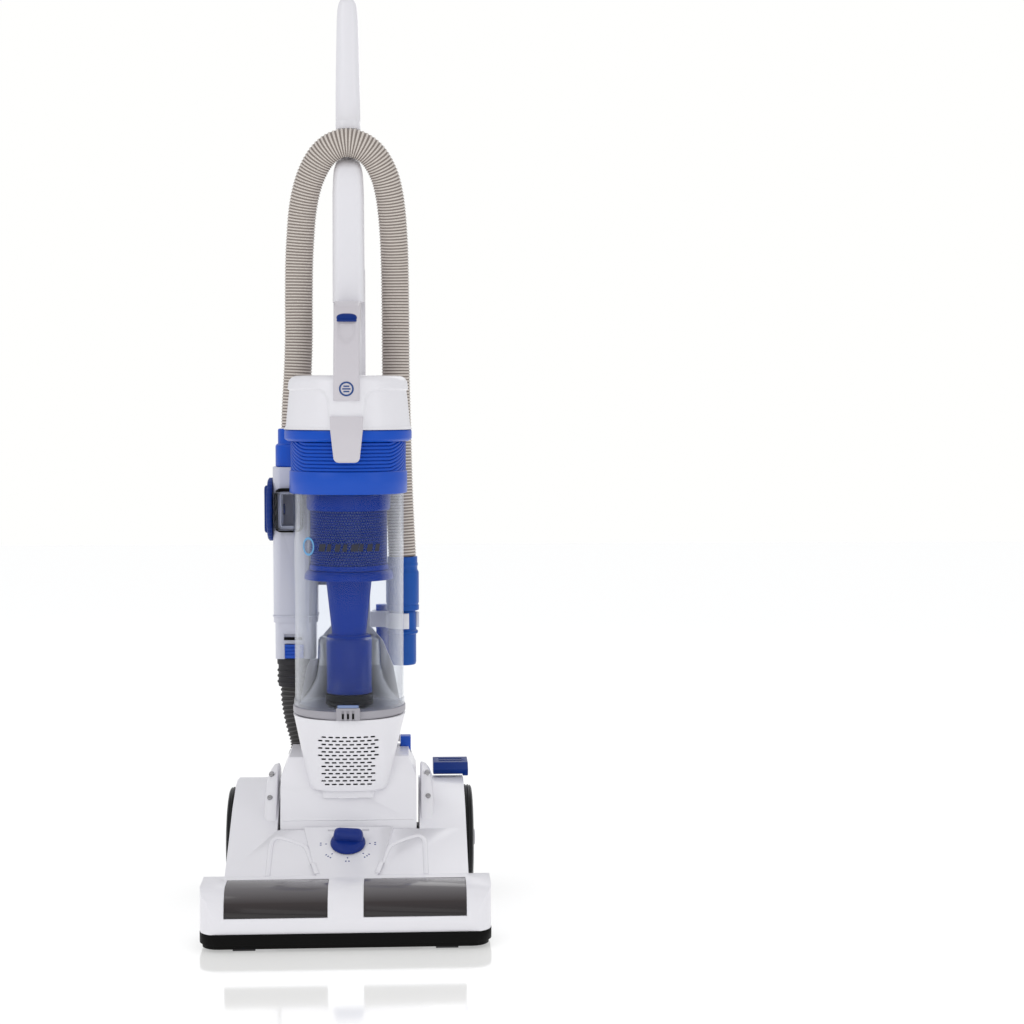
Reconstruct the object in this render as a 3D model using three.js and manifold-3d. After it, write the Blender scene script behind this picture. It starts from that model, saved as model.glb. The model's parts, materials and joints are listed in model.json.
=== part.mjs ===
// Upright vacuum cleaner: floor head, reclining upright, bagless dust bin, stretch hose and handle.
// Millimetres, +Z up, front towards -Y. The origin lies on the floor under the middle of the machine.
import * as THREE from 'three';
import { mergeVertices } from 'three/addons/utils/BufferGeometryUtils.js';
import Module from 'manifold-3d';

const wasm = await Module();
wasm.setup();

// ---- Driving dimensions ----
const WIDTH = 325; // over the nozzle
const DEPTH = 340; // nozzle front to the rear of the wheels
const HEIGHT = 1095; // floor to the tip of the grip
const GAP = 0.3; // between pieces that touch
const WALL = 3; // moulded plastic walls
const SEGMENTS = 24; // around a full circle
const SLIVER = 1; // cubic millimetres

const WHEEL_R = 65;
const WHEEL_T = 12;
const WHEEL_TRACK = 151; // outer face of each wheel from the middle
const AXLE_R = 6;
const NOZZLE_TOP = 69;
const NOZZLE_DEPTH = 65;
const CORNER_R = 22;
const BUMPER_TOP = 20;
const BUMPER_BOTTOM = 3;
const BUMPER_T = 5;
const DECK_HALF = 138.5; // half width of the body behind the nozzle
const OPENING_HALF = 83.5; // half width of the notch that holds the lower body
const OPENING_RISE = 36; // from the nozzle's top to the notch's front edge
const FENDER_TOP = 143;
const CHEEK_TOP = 166;
const CHEEK_T = 15;
const BRUSH_R = 17;
const BRISTLE_R = 25.5;
const BRUSH_HALF = 124;
const BRUSH_Z = 31;
const PULLEY_R = 7;
const BRUSH_PULLEY_R = 14;
const BELT_T = 2;
const BELT_W = 8;
const BELT_X = 100;
const ROLLER_R = 9;
const ROLLER_T = 14;
const ROLLER_X = 60;
const KNOB_R = 20.5;
const KNOB_H = 7;
const PEDAL_W = 43;
const SCREW_R = 3.2;

const PIVOT_Y = 55;
const PIVOT_Z = 90;
const DRUM_R = 80;
const BODY_HALF = 80;
const SHOULDER_Z = 185;
const MOTOR_R = 46;
const MOTOR_HALF = 52;
const ROTOR_R = 34;
const SHAFT_R = 5;

const BIN_Y = 45; // the bin's axis, behind the middle of the machine
const BIN_BASE_Z = 233;
const BIN_R = 66.5;
const BIN_H = 255; // clear part, above its door
const BIN_WALL = 2.5;
const DOOR_T = 10;
const COLLAR_R = 70.4;
const COLLAR_H = 27;
const BAND_H = 35;
const RING_R = 76;
const RING_H = 14;
const CAP_H = 64;
const CARRY_HALF = 15.5;
const CARRY_TOP = 728;
const POST_HALF = 19.5;
const REST_Z = 898; // where the hose lies over the handle
const GRIP_Z = 938;
const GRIP_HALF = 15;

const DUCT_X = -67;
const DUCT_Y = 118;
const DUCT_TOP = 527;
const DUCT_BOTTOM = 291;
const DUCT_HALF_X = 27;
const DUCT_HALF_Y = 25;
const HOSE_R = 18;
const LOWER_HOSE_R = 20;
const DIAL_R = 39;
const DIAL_Z = 474.5;
const WAND_X = 64.5;
const WAND_Y = 124;
const WAND_TOP = 415;
const TOOL_R = 17;

// Worked out from the sizes above
const FRONT = -DEPTH / 2;
const NOZZLE_BACK = FRONT + NOZZLE_DEPTH;
const OPENING_FRONT = PIVOT_Y - DRUM_R - 2;
const OPENING_Z = NOZZLE_TOP + OPENING_RISE;
const REAR = DEPTH / 2;
const WHEEL_Y = REAR - WHEEL_R;
const BIN_TOP = BIN_BASE_Z + DOOR_T + BIN_H;
const COLLAR_TOP = BIN_TOP + COLLAR_H;
const BAND_TOP = COLLAR_TOP + BAND_H;
const RING_TOP = BAND_TOP + RING_H;
const CAP_TOP = RING_TOP + CAP_H;
const BRUSH_Y = FRONT + 42;

// ---- Colours ----
const FINISH = {
  white: [0xe2e0e6, 0.35, 0],
  blue: [0x0f50b2, 0.4, 0],
  black: [0x141210, 0.6, 0],
  smoke: [0x3a3638, 0.2, 0],
  clear: [0xcfdcea, 0.08, 0],
  grey: [0xa09ea5, 0.45, 0],
  dark: [0x2a2730, 0.6, 0],
  hose: [0xa09a92, 0.6, 0],
  steel: [0x8a8a8e, 0.35, 0.9],
};
const machine = new THREE.Group();
const outer = {}; // outer solids kept for cutting neighbours

function solid(geometry) {
  const bare = geometry.clone();
  bare.deleteAttribute('normal');
  bare.deleteAttribute('uv');
  const merged = mergeVertices(bare, 1e-4);
  const points = merged.attributes.position;
  const corners = merged.index.array;
  const kept = [];
  let volume = 0;
  const [a, b, c] = [new THREE.Vector3(), new THREE.Vector3(), new THREE.Vector3()];
  for (let i = 0; i < corners.length; i += 3) {
    const [p, q, r] = corners.slice(i, i + 3);
    if (p === q || q === r || r === p) continue;
    kept.push([p, q, r]);
    a.fromBufferAttribute(points, p);
    b.fromBufferAttribute(points, q);
    c.fromBufferAttribute(points, r);
    volume += a.dot(b.cross(c));
  }
  const faces = volume > 0 ? kept : kept.map(([p, q, r]) => [p, r, q]);
  const vertProperties = Float32Array.from(points.array);
  return new wasm.Manifold(new wasm.Mesh({ numProp: 3, vertProperties,
    triVerts: Uint32Array.from(faces.flat()) }));
}

// Cuts that meet along one face can leave slivers, which are swept away here.
function piece(name, finish, body) {
  const whole = wasm.Manifold.union(body.decompose().filter((part) => part.volume() > SLIVER));
  const mesh = whole.getMesh();
  const geometry = new THREE.BufferGeometry();
  geometry.setAttribute('position', new THREE.BufferAttribute(mesh.vertProperties.slice(), 3));
  geometry.setIndex(new THREE.BufferAttribute(mesh.triVerts.slice(), 1));
  geometry.computeVertexNormals();
  const [color, roughness, metalness] = FINISH[finish];
  const material = new THREE.MeshStandardMaterial({ color, roughness, metalness });
  const node = new THREE.Mesh(geometry, material);
  node.name = name;
  machine.add(node);
  return body;
}

function box(x0, x1, y0, y1, z0, z1) {
  const geometry = new THREE.BoxGeometry(x1 - x0, y1 - y0, z1 - z0);
  geometry.translate((x0 + x1) / 2, (y0 + y1) / 2, (z0 + z1) / 2);
  return solid(geometry);
}

// An outline pushed out along its own normal: 'x' takes (y, z), 'y' takes (x, z), 'z' takes (x, y).
function prism(axis, outline, from, to) {
  const shape = new THREE.Shape(outline.map(([u, v]) => new THREE.Vector2(u, v)));
  const geometry = new THREE.ExtrudeGeometry(shape, { depth: to - from, bevelEnabled: false });
  geometry.translate(0, 0, from);
  const turned = new THREE.Matrix4();
  if (axis === 'x') turned.set(0, 0, 1, 0, 1, 0, 0, 0, 0, 1, 0, 0, 0, 0, 0, 1);
  if (axis === 'y') turned.set(1, 0, 0, 0, 0, 0, -1, 0, 0, 1, 0, 0, 0, 0, 0, 1);
  if (axis === 'y') geometry.translate(0, 0, -from - to);
  return solid(geometry.applyMatrix4(turned));
}

// A turned profile of (radius, height) points about Z, or laid along X or Y.
function turned(profile, at = [0, 0, 0], axis = 'z', segments = SEGMENTS) {
  const points = profile.map(([r, h]) => new THREE.Vector2(r, h));
  const geometry = new THREE.LatheGeometry([...points, points[0].clone()], segments);
  geometry.rotateX(Math.PI / 2);
  if (axis === 'x') geometry.rotateY(Math.PI / 2);
  if (axis === 'y') geometry.rotateX(-Math.PI / 2);
  return solid(geometry.translate(...at));
}

function rod(axis, r, from, to, at, segments = SEGMENTS) {
  return turned([[0, from], [r, from], [r, to], [0, to]], at, axis, segments);
}

function ring(axis, inside, outside, from, to, at, segments = SEGMENTS) {
  const profile = [[inside, from], [outside, from], [outside, to], [inside, to]];
  return turned(profile, at, axis, segments);
}

function rounded(halfU, v0, v1, r, steps = 6) {
  const points = [];
  const corners = [[halfU - r, v1 - r, 0], [r - halfU, v1 - r, 1], [r - halfU, v0 + r, 2],
    [halfU - r, v0 + r, 3]];
  for (const [u, v, quarter] of corners) {
    for (let i = 0; i <= steps; i++) {
      const a = (quarter + i / steps) * Math.PI / 2;
      points.push([u + r * Math.cos(a), v + r * Math.sin(a)]);
    }
  }
  return points;
}

// The same outline moved in by a distance; it runs anticlockwise.
function inset(points, distance) {
  const count = points.length;
  return points.map(([u, v], i) => {
    const [pu, pv] = points[(i + count - 1) % count];
    const [nu, nv] = points[(i + 1) % count];
    const a = new THREE.Vector2(u - pu, v - pv).normalize();
    const b = new THREE.Vector2(nu - u, nv - v).normalize();
    const normal = new THREE.Vector2(-a.y - b.y, a.x + b.x).normalize();
    const reach = distance / Math.max(0.4, normal.x * -a.y + normal.y * a.x);
    return [u + normal.x * reach, v + normal.y * reach];
  });
}

// A tube along a route, round, with a step between each pair of stations.
function tube(route, r, steps, sides = 10) {
  const path = new THREE.CatmullRomCurve3(route.map((p) => new THREE.Vector3(...p)), false, 'centripetal');
  const section = new THREE.Shape();
  section.absarc(0, 0, r, 0, Math.PI * 2, false);
  return solid(new THREE.ExtrudeGeometry(section, { steps, extrudePath: path, curveSegments: sides / 2 }));
}

const mirrored = (body) => body.scale([-1, 1, 1]);
const union = (...bodies) => bodies.reduce((sum, body) => sum.add(body));
const SIDES = [['left', -1], ['right', 1]];
const between = (x0, x1, side) => (side > 0 ? [x0, x1] : [-x1, -x0]);

// ---- Floor head ----
const nozzleOutline = [
  [FRONT + 2, BUMPER_TOP], [NOZZLE_BACK + 4, BUMPER_TOP], [NOZZLE_BACK + 4, NOZZLE_TOP],
  [FRONT + 22, NOZZLE_TOP], [FRONT + 13, NOZZLE_TOP - 4], [FRONT + 5, NOZZLE_TOP - 13],
  [FRONT + 1, NOZZLE_TOP - 25], [FRONT, NOZZLE_TOP - 37],
];
const deckOutline = [
  [NOZZLE_BACK - 2, BUMPER_TOP], [REAR - 12, BUMPER_TOP + 4], [REAR - 12, 70], [REAR - 22, 112],
  [REAR - 45, FENDER_TOP - 4], [WHEEL_Y - 20, FENDER_TOP], [WHEEL_Y - 45, FENDER_TOP - 3],
  [OPENING_FRONT + 37, OPENING_Z + 19], [OPENING_FRONT, OPENING_Z], [NOZZLE_BACK - 2, NOZZLE_TOP - 3],
];
const slope = Math.atan2(OPENING_RISE + 3, OPENING_FRONT - NOZZLE_BACK + 2);
const KNOB_Y = OPENING_FRONT - 28;
const KNOB_Z = OPENING_Z + (KNOB_Y - OPENING_FRONT) * Math.tan(slope) + 3;
const onDeck = (body) => body.rotate([THREE.MathUtils.radToDeg(slope), 0, 0])
  .translate([0, KNOB_Y, KNOB_Z]);
const WINDOW = { inner: 20, outer: 134, low: 38, sink: 2.2 };
const plan = rounded(WIDTH / 2 - 0.5, FRONT, NOZZLE_BACK + 60, CORNER_R);

function windowRoom(side, grow) {
  const [x0, x1] = between(WINDOW.inner - grow, WINDOW.outer + grow, side);
  const core = prism('x', inset(nozzleOutline, WINDOW.sink), x0 - 1, x1 + 1);
  return box(x0, x1, FRONT - 5, FRONT + 52 + grow, WINDOW.low - grow, NOZZLE_TOP + 5).subtract(core);
}

function windowPane(side) {
  const outside = prism('x', inset(nozzleOutline, GAP), -WIDTH / 2, WIDTH / 2);
  return windowRoom(side, 0).intersect(outside);
}

function floorHead() {
  const nozzle = prism('x', nozzleOutline, -WIDTH / 2, WIDTH / 2).intersect(prism('z', plan, 0, 200));
  const deck = prism('x', deckOutline, -DECK_HALF, DECK_HALF);
  const panelPlan = [[-33, NOZZLE_BACK - 8], [33, NOZZLE_BACK - 8], [52, OPENING_FRONT],
    [-52, OPENING_FRONT]];
  const panelSide = [
    [NOZZLE_BACK - 8, BUMPER_TOP], [OPENING_FRONT, BUMPER_TOP], [OPENING_FRONT, OPENING_Z + 3],
    [NOZZLE_BACK - 2, NOZZLE_TOP], [NOZZLE_BACK - 8, NOZZLE_TOP],
  ];
  const panel = prism('z', panelPlan, 0, 200).intersect(prism('x', panelSide, -60, 60));
  const notch = box(-OPENING_HALF, OPENING_HALF, OPENING_FRONT, REAR + 1, 0, 300);
  outer.head = union(nozzle, deck, panel).subtract(notch);

  const inside = inset(nozzleOutline, WALL + WINDOW.sink);
  const nozzleRoom = prism('x', inside, WALL - WIDTH / 2, WIDTH / 2 - WALL)
    .intersect(prism('z', inset(plan, WALL), 0, 200))
    .add(box(-WIDTH / 2 + 8, WIDTH / 2 - 8, FRONT + 6, NOZZLE_BACK - 4, 0, BUMPER_TOP + 6));
  const deckRoom = prism('x', inset(deckOutline, WALL), WALL - DECK_HALF, DECK_HALF - WALL)
    .add(box(WALL - DECK_HALF, DECK_HALF - WALL, NOZZLE_BACK + 4, REAR - 18, 0, BUMPER_TOP + 12));
  const notchWalls = box(-OPENING_HALF - WALL, OPENING_HALF + WALL, OPENING_FRONT - WALL, REAR, 0, 300);
  const passage = box(-BRUSH_HALF - 2, BRUSH_HALF + 2, NOZZLE_BACK - 12, NOZZLE_BACK + 12, 0,
    NOZZLE_TOP - 14);
  let shell = outer.head.subtract(nozzleRoom).subtract(deckRoom.subtract(notchWalls)).subtract(passage);

  for (const [, side] of SIDES) {
    const [a0, a1] = between(OPENING_HALF - 1, OPENING_HALF + WALL + 1, side);
    shell = shell.subtract(rod('x', SHAFT_R + 9, a0, a1, [0, PIVOT_Y, PIVOT_Z]));
    const [b0, b1] = between(DECK_HALF - WALL - 1, DECK_HALF + 1, side);
    shell = shell.subtract(rod('x', AXLE_R + GAP, b0, b1, [0, WHEEL_Y, WHEEL_R]));
    shell = shell.subtract(windowRoom(side, GAP));
    const [s0, s1] = between(16, 24, side);
    shell = shell.subtract(box(s0, s1, OPENING_FRONT - 7, OPENING_FRONT - 4, 60, 200));
  }
  shell = shell.subtract(onDeck(rod('z', 6 + GAP, -20, 20, [0, 0, 0])));
  piece('nozzle_housing', 'white', shell);

  for (const [name, side] of SIDES) piece(`window_${name}`, 'smoke', windowPane(side)
    .translate([0, -GAP / 2, GAP / 2]));
}

function soleAndBumper() {
  const front = rounded(WIDTH / 2, FRONT, NOZZLE_BACK + 60, CORNER_R);
  const cut = box(-WIDTH, WIDTH, NOZZLE_BACK + 4, REAR, 0, 100);
  const low = BUMPER_BOTTOM + 5;
  const strip = prism('z', front, low, BUMPER_TOP - GAP)
    .add(prism('z', inset(front, 3), BUMPER_BOTTOM, low))
    .subtract(prism('z', inset(front, BUMPER_T), 0, 100));
  piece('bumper_strip', 'black', strip.subtract(cut));

  const soleTop = BUMPER_BOTTOM + 5;
  const plate = prism('z', inset(front, BUMPER_T + GAP), BUMPER_BOTTOM + 1, soleTop).subtract(cut);
  const tail = box(-DECK_HALF + WALL + 1, DECK_HALF - WALL - 1, NOZZLE_BACK, OPENING_FRONT - 4,
    BUMPER_BOTTOM + 1, soleTop);
  const mouth = box(-BRUSH_HALF - 4, BRUSH_HALF + 4, BRUSH_Y - 20, BRUSH_Y + 22, 0, 20);
  let sole = plate.add(tail).subtract(mouth);
  for (const side of [-1, 1]) {
    const [r0, r1] = between(ROLLER_X - ROLLER_T / 2 - 6, ROLLER_X + ROLLER_T / 2 + 6, side);
    sole = sole.subtract(box(r0, r1, NOZZLE_BACK + 8, NOZZLE_BACK + 55, 0, 20));
    for (const y of [FRONT + 13, OPENING_FRONT - 16]) {
      const [p0, p1] = between(100, 125, side);
      sole = sole.add(box(p0, p1, y - 5, y + 5, 0, BUMPER_BOTTOM + 2));
    }
  }
  const ribs = [-62, 0, 62].map((x) => box(x - 1.5, x + 1.5, BRUSH_Y - 21, BRUSH_Y + 23, BUMPER_BOTTOM,
    BUMPER_BOTTOM + 1.4));
  piece('sole_plate', 'dark',
    union(sole, ...ribs.map((rib) => rib.intersect(box(-200, 200, -200, 200, 1, 20)))));
}

function brushAndBelt() {
  const at = [0, BRUSH_Y, BRUSH_Z];
  const grooveStart = BELT_X - BELT_W / 2 - 2;
  let brush = union(
    rod('x', BRUSH_R, -BRUSH_HALF, grooveStart, at, 20),
    rod('x', BRUSH_PULLEY_R - BELT_T - GAP, grooveStart - 1, grooveStart + BELT_W + 4, at, 20),
    rod('x', BRUSH_R, grooveStart + BELT_W + 4, BRUSH_HALF, at, 20),
    rod('x', 4, -BRUSH_HALF - 9, BRUSH_HALF + 9, at, 16),
  );
  const tuft = box(-7, 7, -2.2, 2.2, BRUSH_R - 3, BRISTLE_R);
  const tufts = 10;
  for (let i = 0; i < tufts; i++) {
    const x = -BRUSH_HALF + 12 + i * (BRUSH_HALF + BELT_X - 31) / (tufts - 1);
    for (const half of [0, 180]) {
      brush = brush.add(tuft.rotate([half + Math.abs(i - tufts / 2) * 30, 0, 0])
        .translate([x, at[1], at[2]]));
    }
  }
  piece('brush_roll', 'dark',
    brush.subtract(box(grooveStart, grooveStart + BELT_W + 4, -200, 0, BRUSH_Z + BRUSH_PULLEY_R, 100)));

  for (const [name, side] of SIDES) {
    const [x0, x1] = between(BRUSH_HALF + 2, BRUSH_HALF + 12, side);
    const block = box(x0, x1, at[1] - 13, at[1] + 13, BUMPER_BOTTOM + 5 + GAP, BRUSH_Z + 14);
    piece(`brush_bearing_${name}`, 'black', block.subtract(rod('x', 4 + GAP, x0 - 1, x1 + 1, at, 16)));
  }

  const loop = (r0, r1) => {
    const reach = new THREE.Vector2(PIVOT_Y - BRUSH_Y, PIVOT_Z - BRUSH_Z);
    const tilt = reach.angle();
    const spread = Math.acos((r0 - r1) / reach.length());
    const points = [];
    const arc = (cy, cz, r, from, to) => {
      for (let i = 0; i <= 10; i++) {
        const a = tilt + from + (to - from) * i / 10;
        points.push([cy + r * Math.cos(a), cz + r * Math.sin(a)]);
      }
    };
    arc(BRUSH_Y, BRUSH_Z, r0, spread, 2 * Math.PI - spread);
    arc(PIVOT_Y, PIVOT_Z, r1, -spread, spread);
    return points;
  };
  const from = BELT_X - BELT_W / 2;
  const inner = prism('x', loop(BRUSH_PULLEY_R - BELT_T, PULLEY_R + GAP), from - 1, from + BELT_W + 1);
  piece('drive_belt', 'black',
    prism('x', loop(BRUSH_PULLEY_R, PULLEY_R + BELT_T + GAP), from, from + BELT_W).subtract(inner));
}

function wheels() {
  for (const [name, side] of SIDES) {
    const inner = WHEEL_TRACK - WHEEL_T;
    const profile = [
      [AXLE_R + GAP, 0], [WHEEL_R - 4, 0], [WHEEL_R, 2.5], [WHEEL_R, 7], [WHEEL_R - 3, 9],
      [WHEEL_R - 11, 10],
      [WHEEL_R - 13, 8.5], [24, WHEEL_T], [AXLE_R + GAP, WHEEL_T],
    ];
    const wheel = turned(profile, [inner, WHEEL_Y, WHEEL_R], 'x', 36);
    piece(`wheel_${name}`, 'black', side > 0 ? wheel : mirrored(wheel));
    const axle = turned([[0, -20], [AXLE_R, -20], [AXLE_R, WHEEL_T + GAP], [11, WHEEL_T + GAP],
      [9, WHEEL_T + 2.5],
      [0, WHEEL_T + 3]], [inner, WHEEL_Y, WHEEL_R], 'x', 16);
    piece(`wheel_axle_${name}`, 'steel', side > 0 ? axle : mirrored(axle));
  }
}

function frontCarriage() {
  const y = NOZZLE_BACK + 22;
  const pivotY = NOZZLE_BACK + 52;
  const frame = union(
    box(-88, 88, pivotY - 6, pivotY + 4, 11, 20),
    rod('x', 5, -94, 94, [0, pivotY, 15.5], 16),
    box(-5, 5, pivotY - 5, pivotY + 3, 15, 30),
  );
  let carriage = frame;
  for (const side of [-1, 1]) {
    for (const edge of [-1, 1]) {
      const x = side * ROLLER_X + edge * (ROLLER_T / 2 + 3);
      carriage = carriage.add(box(x - 1.8, x + 1.8, y - 5, pivotY, 6, 18));
    }
    carriage = carriage.add(rod('x', 2.5, side * ROLLER_X - 11, side * ROLLER_X + 11, [0, y, ROLLER_R],
      12));
  }
  piece('front_carriage', 'black', carriage);
  for (const [name, side] of SIDES) {
    const x = side * ROLLER_X;
    piece(`front_roller_${name}`, 'dark',
      ring('x', 2.5 + GAP, ROLLER_R, x - ROLLER_T / 2 + 2, x + ROLLER_T / 2 - 2, [0, y, ROLLER_R], 16));
  }
}

function headControls() {
  const stem = rod('z', 6, -12, 1, [0, 0, 0], 16);
  const skirt = turned([[0, GAP], [KNOB_R, GAP], [KNOB_R, 3], [KNOB_R - 2, KNOB_H - 2],
    [KNOB_R - 5, KNOB_H], [0, KNOB_H]]);
  const grip = prism('z', rounded(15.5, -6.5, 6.5, 5), KNOB_H - 1, KNOB_H + 7);
  piece('height_knob', 'blue', onDeck(union(stem, skirt, grip.translate([0, 6, 0]))));

  const x0 = 102;
  const y0 = PIVOT_Y + 42;
  const top = CHEEK_TOP - 7;
  const side = [[y0, top - 15], [y0 + 8, top - 17], [y0 + 46, top - 17], [y0 + 50, top - 12],
    [y0 + 50, top - 4],
    [y0 + 46, top], [y0 + 8, top], [y0 - 4, top - 7]];
  let pedal = prism('x', side, x0, x0 + PEDAL_W);
  for (const y of [y0 + 18, y0 + 30]) pedal = pedal.subtract(box(x0 + 7, x0 + PEDAL_W - 7, y, y + 5,
    top - 3, top + 1));
  pedal = pedal.subtract(outer.head.translate([0, 0, 4]));
  piece('recline_pedal', 'blue', pedal);

  const cheekSide = [[PIVOT_Y - 58, 110], [PIVOT_Y + 52, 110], [PIVOT_Y + 52, 140],
    [PIVOT_Y + 40, CHEEK_TOP - 8],
    [PIVOT_Y + 20, CHEEK_TOP], [PIVOT_Y - 8, CHEEK_TOP], [PIVOT_Y - 24, CHEEK_TOP - 7],
    [PIVOT_Y - 40, 138]];
  const [screwY, screwZ] = [PIVOT_Y - 14, CHEEK_TOP - 6];
  for (const [name, cheek] of SIDES) {
    const [c0, c1] = between(OPENING_HALF + 2, OPENING_HALF + 2 + CHEEK_T, cheek);
    let cover = prism('x', cheekSide, c0, c1).subtract(outer.head.translate([0, 0, GAP]));
    cover = cover.subtract(box(-300, 300, -300, 300, 0, 112));
    const x = cheek * (OPENING_HALF + 10);
    const seat = [x, screwY - 4, screwZ];
    cover = cover.subtract(rod('y', SCREW_R + GAP, -30, 0, seat, 16));
    const notch = box(x - 3, x + 3, seat[1] - 6, seat[1] - 4, screwZ - 0.5, screwZ + 0.5);
    piece(`cheek_screw_${name}`, 'steel', rod('y', SCREW_R, -5, -GAP, seat, 16).subtract(notch));
    piece(`cheek_cover_${name}`, 'white', cover);
  }
}

// ---- Lower body, motor and exhaust ----
const BUCKET = { top: BIN_BASE_Z - GAP, low: 141, topR: BIN_R + 1, lowR: 43, lowY: 20 };
// The lower body's front leans back from here up to its shoulders.
const FRONT_SLOPE = { y: PIVOT_Y - 71, z: 150, run: 23 };

// Everything in front of the lower body's sloping front.
function ahead(gap) {
  const { y, z, run } = FRONT_SLOPE;
  const seam = (height) => y + (height - z) * run / (SHOULDER_Z - z) - gap;
  return prism('x', [[-100, 100], [seam(100), 100], [seam(300), 300], [-100, 300]], -120, 120);
}

// A leaning cone between two level circles, smaller by a distance all round.
function bucket(less, low = BUCKET.low, top = BUCKET.top) {
  const share = (z) => (z - BUCKET.low) / (BUCKET.top - BUCKET.low);
  const radius = (z) => BUCKET.lowR + (BUCKET.topR - BUCKET.lowR) * share(z) - less;
  const geometry = new THREE.CylinderGeometry(radius(top), radius(low), top - low, SEGMENTS);
  geometry.rotateX(Math.PI / 2);
  geometry.translate(0, 0, (top + low) / 2);
  const lean = (BIN_Y - BUCKET.lowY) / (BUCKET.top - BUCKET.low);
  const shear = new THREE.Matrix4().set(1, 0, 0, 0, 0, 1, lean, BUCKET.lowY - lean * BUCKET.low, 0, 0, 1,
    0, 0, 0, 0, 1);
  return solid(geometry.applyMatrix4(shear));
}

function lowerBodyOutline() {
  const points = [];
  for (let degrees = 165; degrees <= 370; degrees += 205 / 24) {
    const a = THREE.MathUtils.degToRad(degrees);
    points.push([PIVOT_Y + DRUM_R * Math.cos(a), PIVOT_Z + DRUM_R * Math.sin(a)]);
  }
  const back = PIVOT_Y + 42;
  return [...points, [PIVOT_Y + DRUM_R - 4, 128], [back, 150], [back, SHOULDER_Z],
    [FRONT_SLOPE.y + FRONT_SLOPE.run, SHOULDER_Z], [FRONT_SLOPE.y, FRONT_SLOPE.z]];
}

function lowerBody() {
  const outline = lowerBodyOutline();
  const shoulders = prism('y',
    [[-BODY_HALF, 0], [BODY_HALF, 0], [BODY_HALF, SHOULDER_Z - 22], [BODY_HALF - 9, SHOULDER_Z],
    [9 - BODY_HALF, SHOULDER_Z], [-BODY_HALF, SHOULDER_Z - 22]], -200, 300);
  const main = prism('x', outline, -BODY_HALF, BODY_HALF).intersect(shoulders);
  const room = prism('x', inset(outline, WALL), WALL - BODY_HALF, BODY_HALF - WALL)
    .intersect(prism('y', [[-BODY_HALF, 0], [BODY_HALF, 0], [BODY_HALF - 4, SHOULDER_Z - 26],
    [BODY_HALF - 14, SHOULDER_Z - WALL],
      [14 - BODY_HALF, SHOULDER_Z - WALL], [4 - BODY_HALF, SHOULDER_Z - 26]], -200, 300));
  let shell = main.add(bucket(0)).subtract(room).subtract(bucket(WALL, BUCKET.low + 2, BUCKET.top - WALL));
  shell = shell.subtract(ahead(0).intersect(bucket(-GAP, BUCKET.low - GAP, BUCKET.top + 0.1)));
  shell = shell.subtract(rod('x', SHAFT_R + 3, BODY_HALF - 6, BODY_HALF + 1, [0, PIVOT_Y, PIVOT_Z]));
  shell = shell.subtract(rod('x', 12, -BODY_HALF - 1, 6 - BODY_HALF, [0, PIVOT_Y, PIVOT_Z]));
  shell = shell.subtract(box(60.5, 74.5, 75.5, 92.5, SHOULDER_Z - 12, SHOULDER_Z + 20)
    .subtract(bucket(-1)));
  const button = box(61 + GAP, 74, 76, 92, SHOULDER_Z - 5, SHOULDER_Z + 12).subtract(bucket(-2));
  piece('power_button', 'blue', button);
  for (const x of [-MOTOR_HALF + 6, MOTOR_HALF - 12]) {
    const web = ring('x', MOTOR_R + GAP, DRUM_R - 1, x, x + 4, [0, PIVOT_Y, PIVOT_Z]);
    shell = shell.add(web.intersect(main).subtract(box(-100, 100, -100, PIVOT_Y - 33, PIVOT_Z + 30, 300)));
  }
  piece('lower_body', 'white', shell);

  let cover = bucket(0, BUCKET.low, BUCKET.top).subtract(bucket(WALL, BUCKET.low + 3, BUCKET.top + 1));
  cover = cover.intersect(ahead(GAP));
  for (let row = 0; row < 7; row++) {
    const z = 159 + row * 8.4;
    for (const x of [-17, 17]) cover = cover.subtract(box(x - 15, x + 15, -60, 10, z, z + 4));
  }
  piece('exhaust_cover', 'white', cover);
  const pad = bucket(WALL + 2, 156, 220).subtract(bucket(WALL + 10, 155, 221))
    .intersect(box(-44, 44, -60, 2, 150, 230));
  piece('exhaust_filter', 'dark', pad);
}

function motor() {
  const at = [0, PIVOT_Y, PIVOT_Z];
  const can = rod('x', MOTOR_R, -MOTOR_HALF, MOTOR_HALF, at)
    .subtract(rod('x', MOTOR_R - 3, 3 - MOTOR_HALF, MOTOR_HALF - 3, at));
  const ends = rod('x', SHAFT_R + 1, -MOTOR_HALF - 1, MOTOR_HALF + 1, at, 20);
  let vented = can.subtract(ends);
  for (let i = 0; i < 6; i++) {
    const slot = box(-18, 18, -5, 5, MOTOR_R - 6, MOTOR_R + 2).rotate([i * 60, 0, 0]).translate(at);
    vented = vented.subtract(slot);
  }
  piece('motor_can', 'steel', vented);
  const pulley = ring('x', PULLEY_R - 1, PULLEY_R, BELT_X - BELT_W / 2, BELT_X + BELT_W / 2, at, 20);
  piece('motor_rotor', 'steel', union(
    rod('x', SHAFT_R, -MOTOR_HALF + 4, BELT_X + BELT_W / 2 + 2, at, 20),
    rod('x', ROTOR_R, -34, 34, at, 24),
    rod('x', ROTOR_R + 6, -46, -39, at, 24),
    rod('x', SHAFT_R + 1.5, BELT_X - BELT_W / 2, BELT_X + BELT_W / 2, at, 20),
    pulley,
  ));
}

// ---- Spine, duct and hoses ----
const bore = (x, y, r, z0, z1) => rod('z', r, z0, z1, [x, y, 0]);
const CLEAR = { bin: BIN_R + 3, collar: COLLAR_R + 2, cap: RING_R + 3 };

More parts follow.
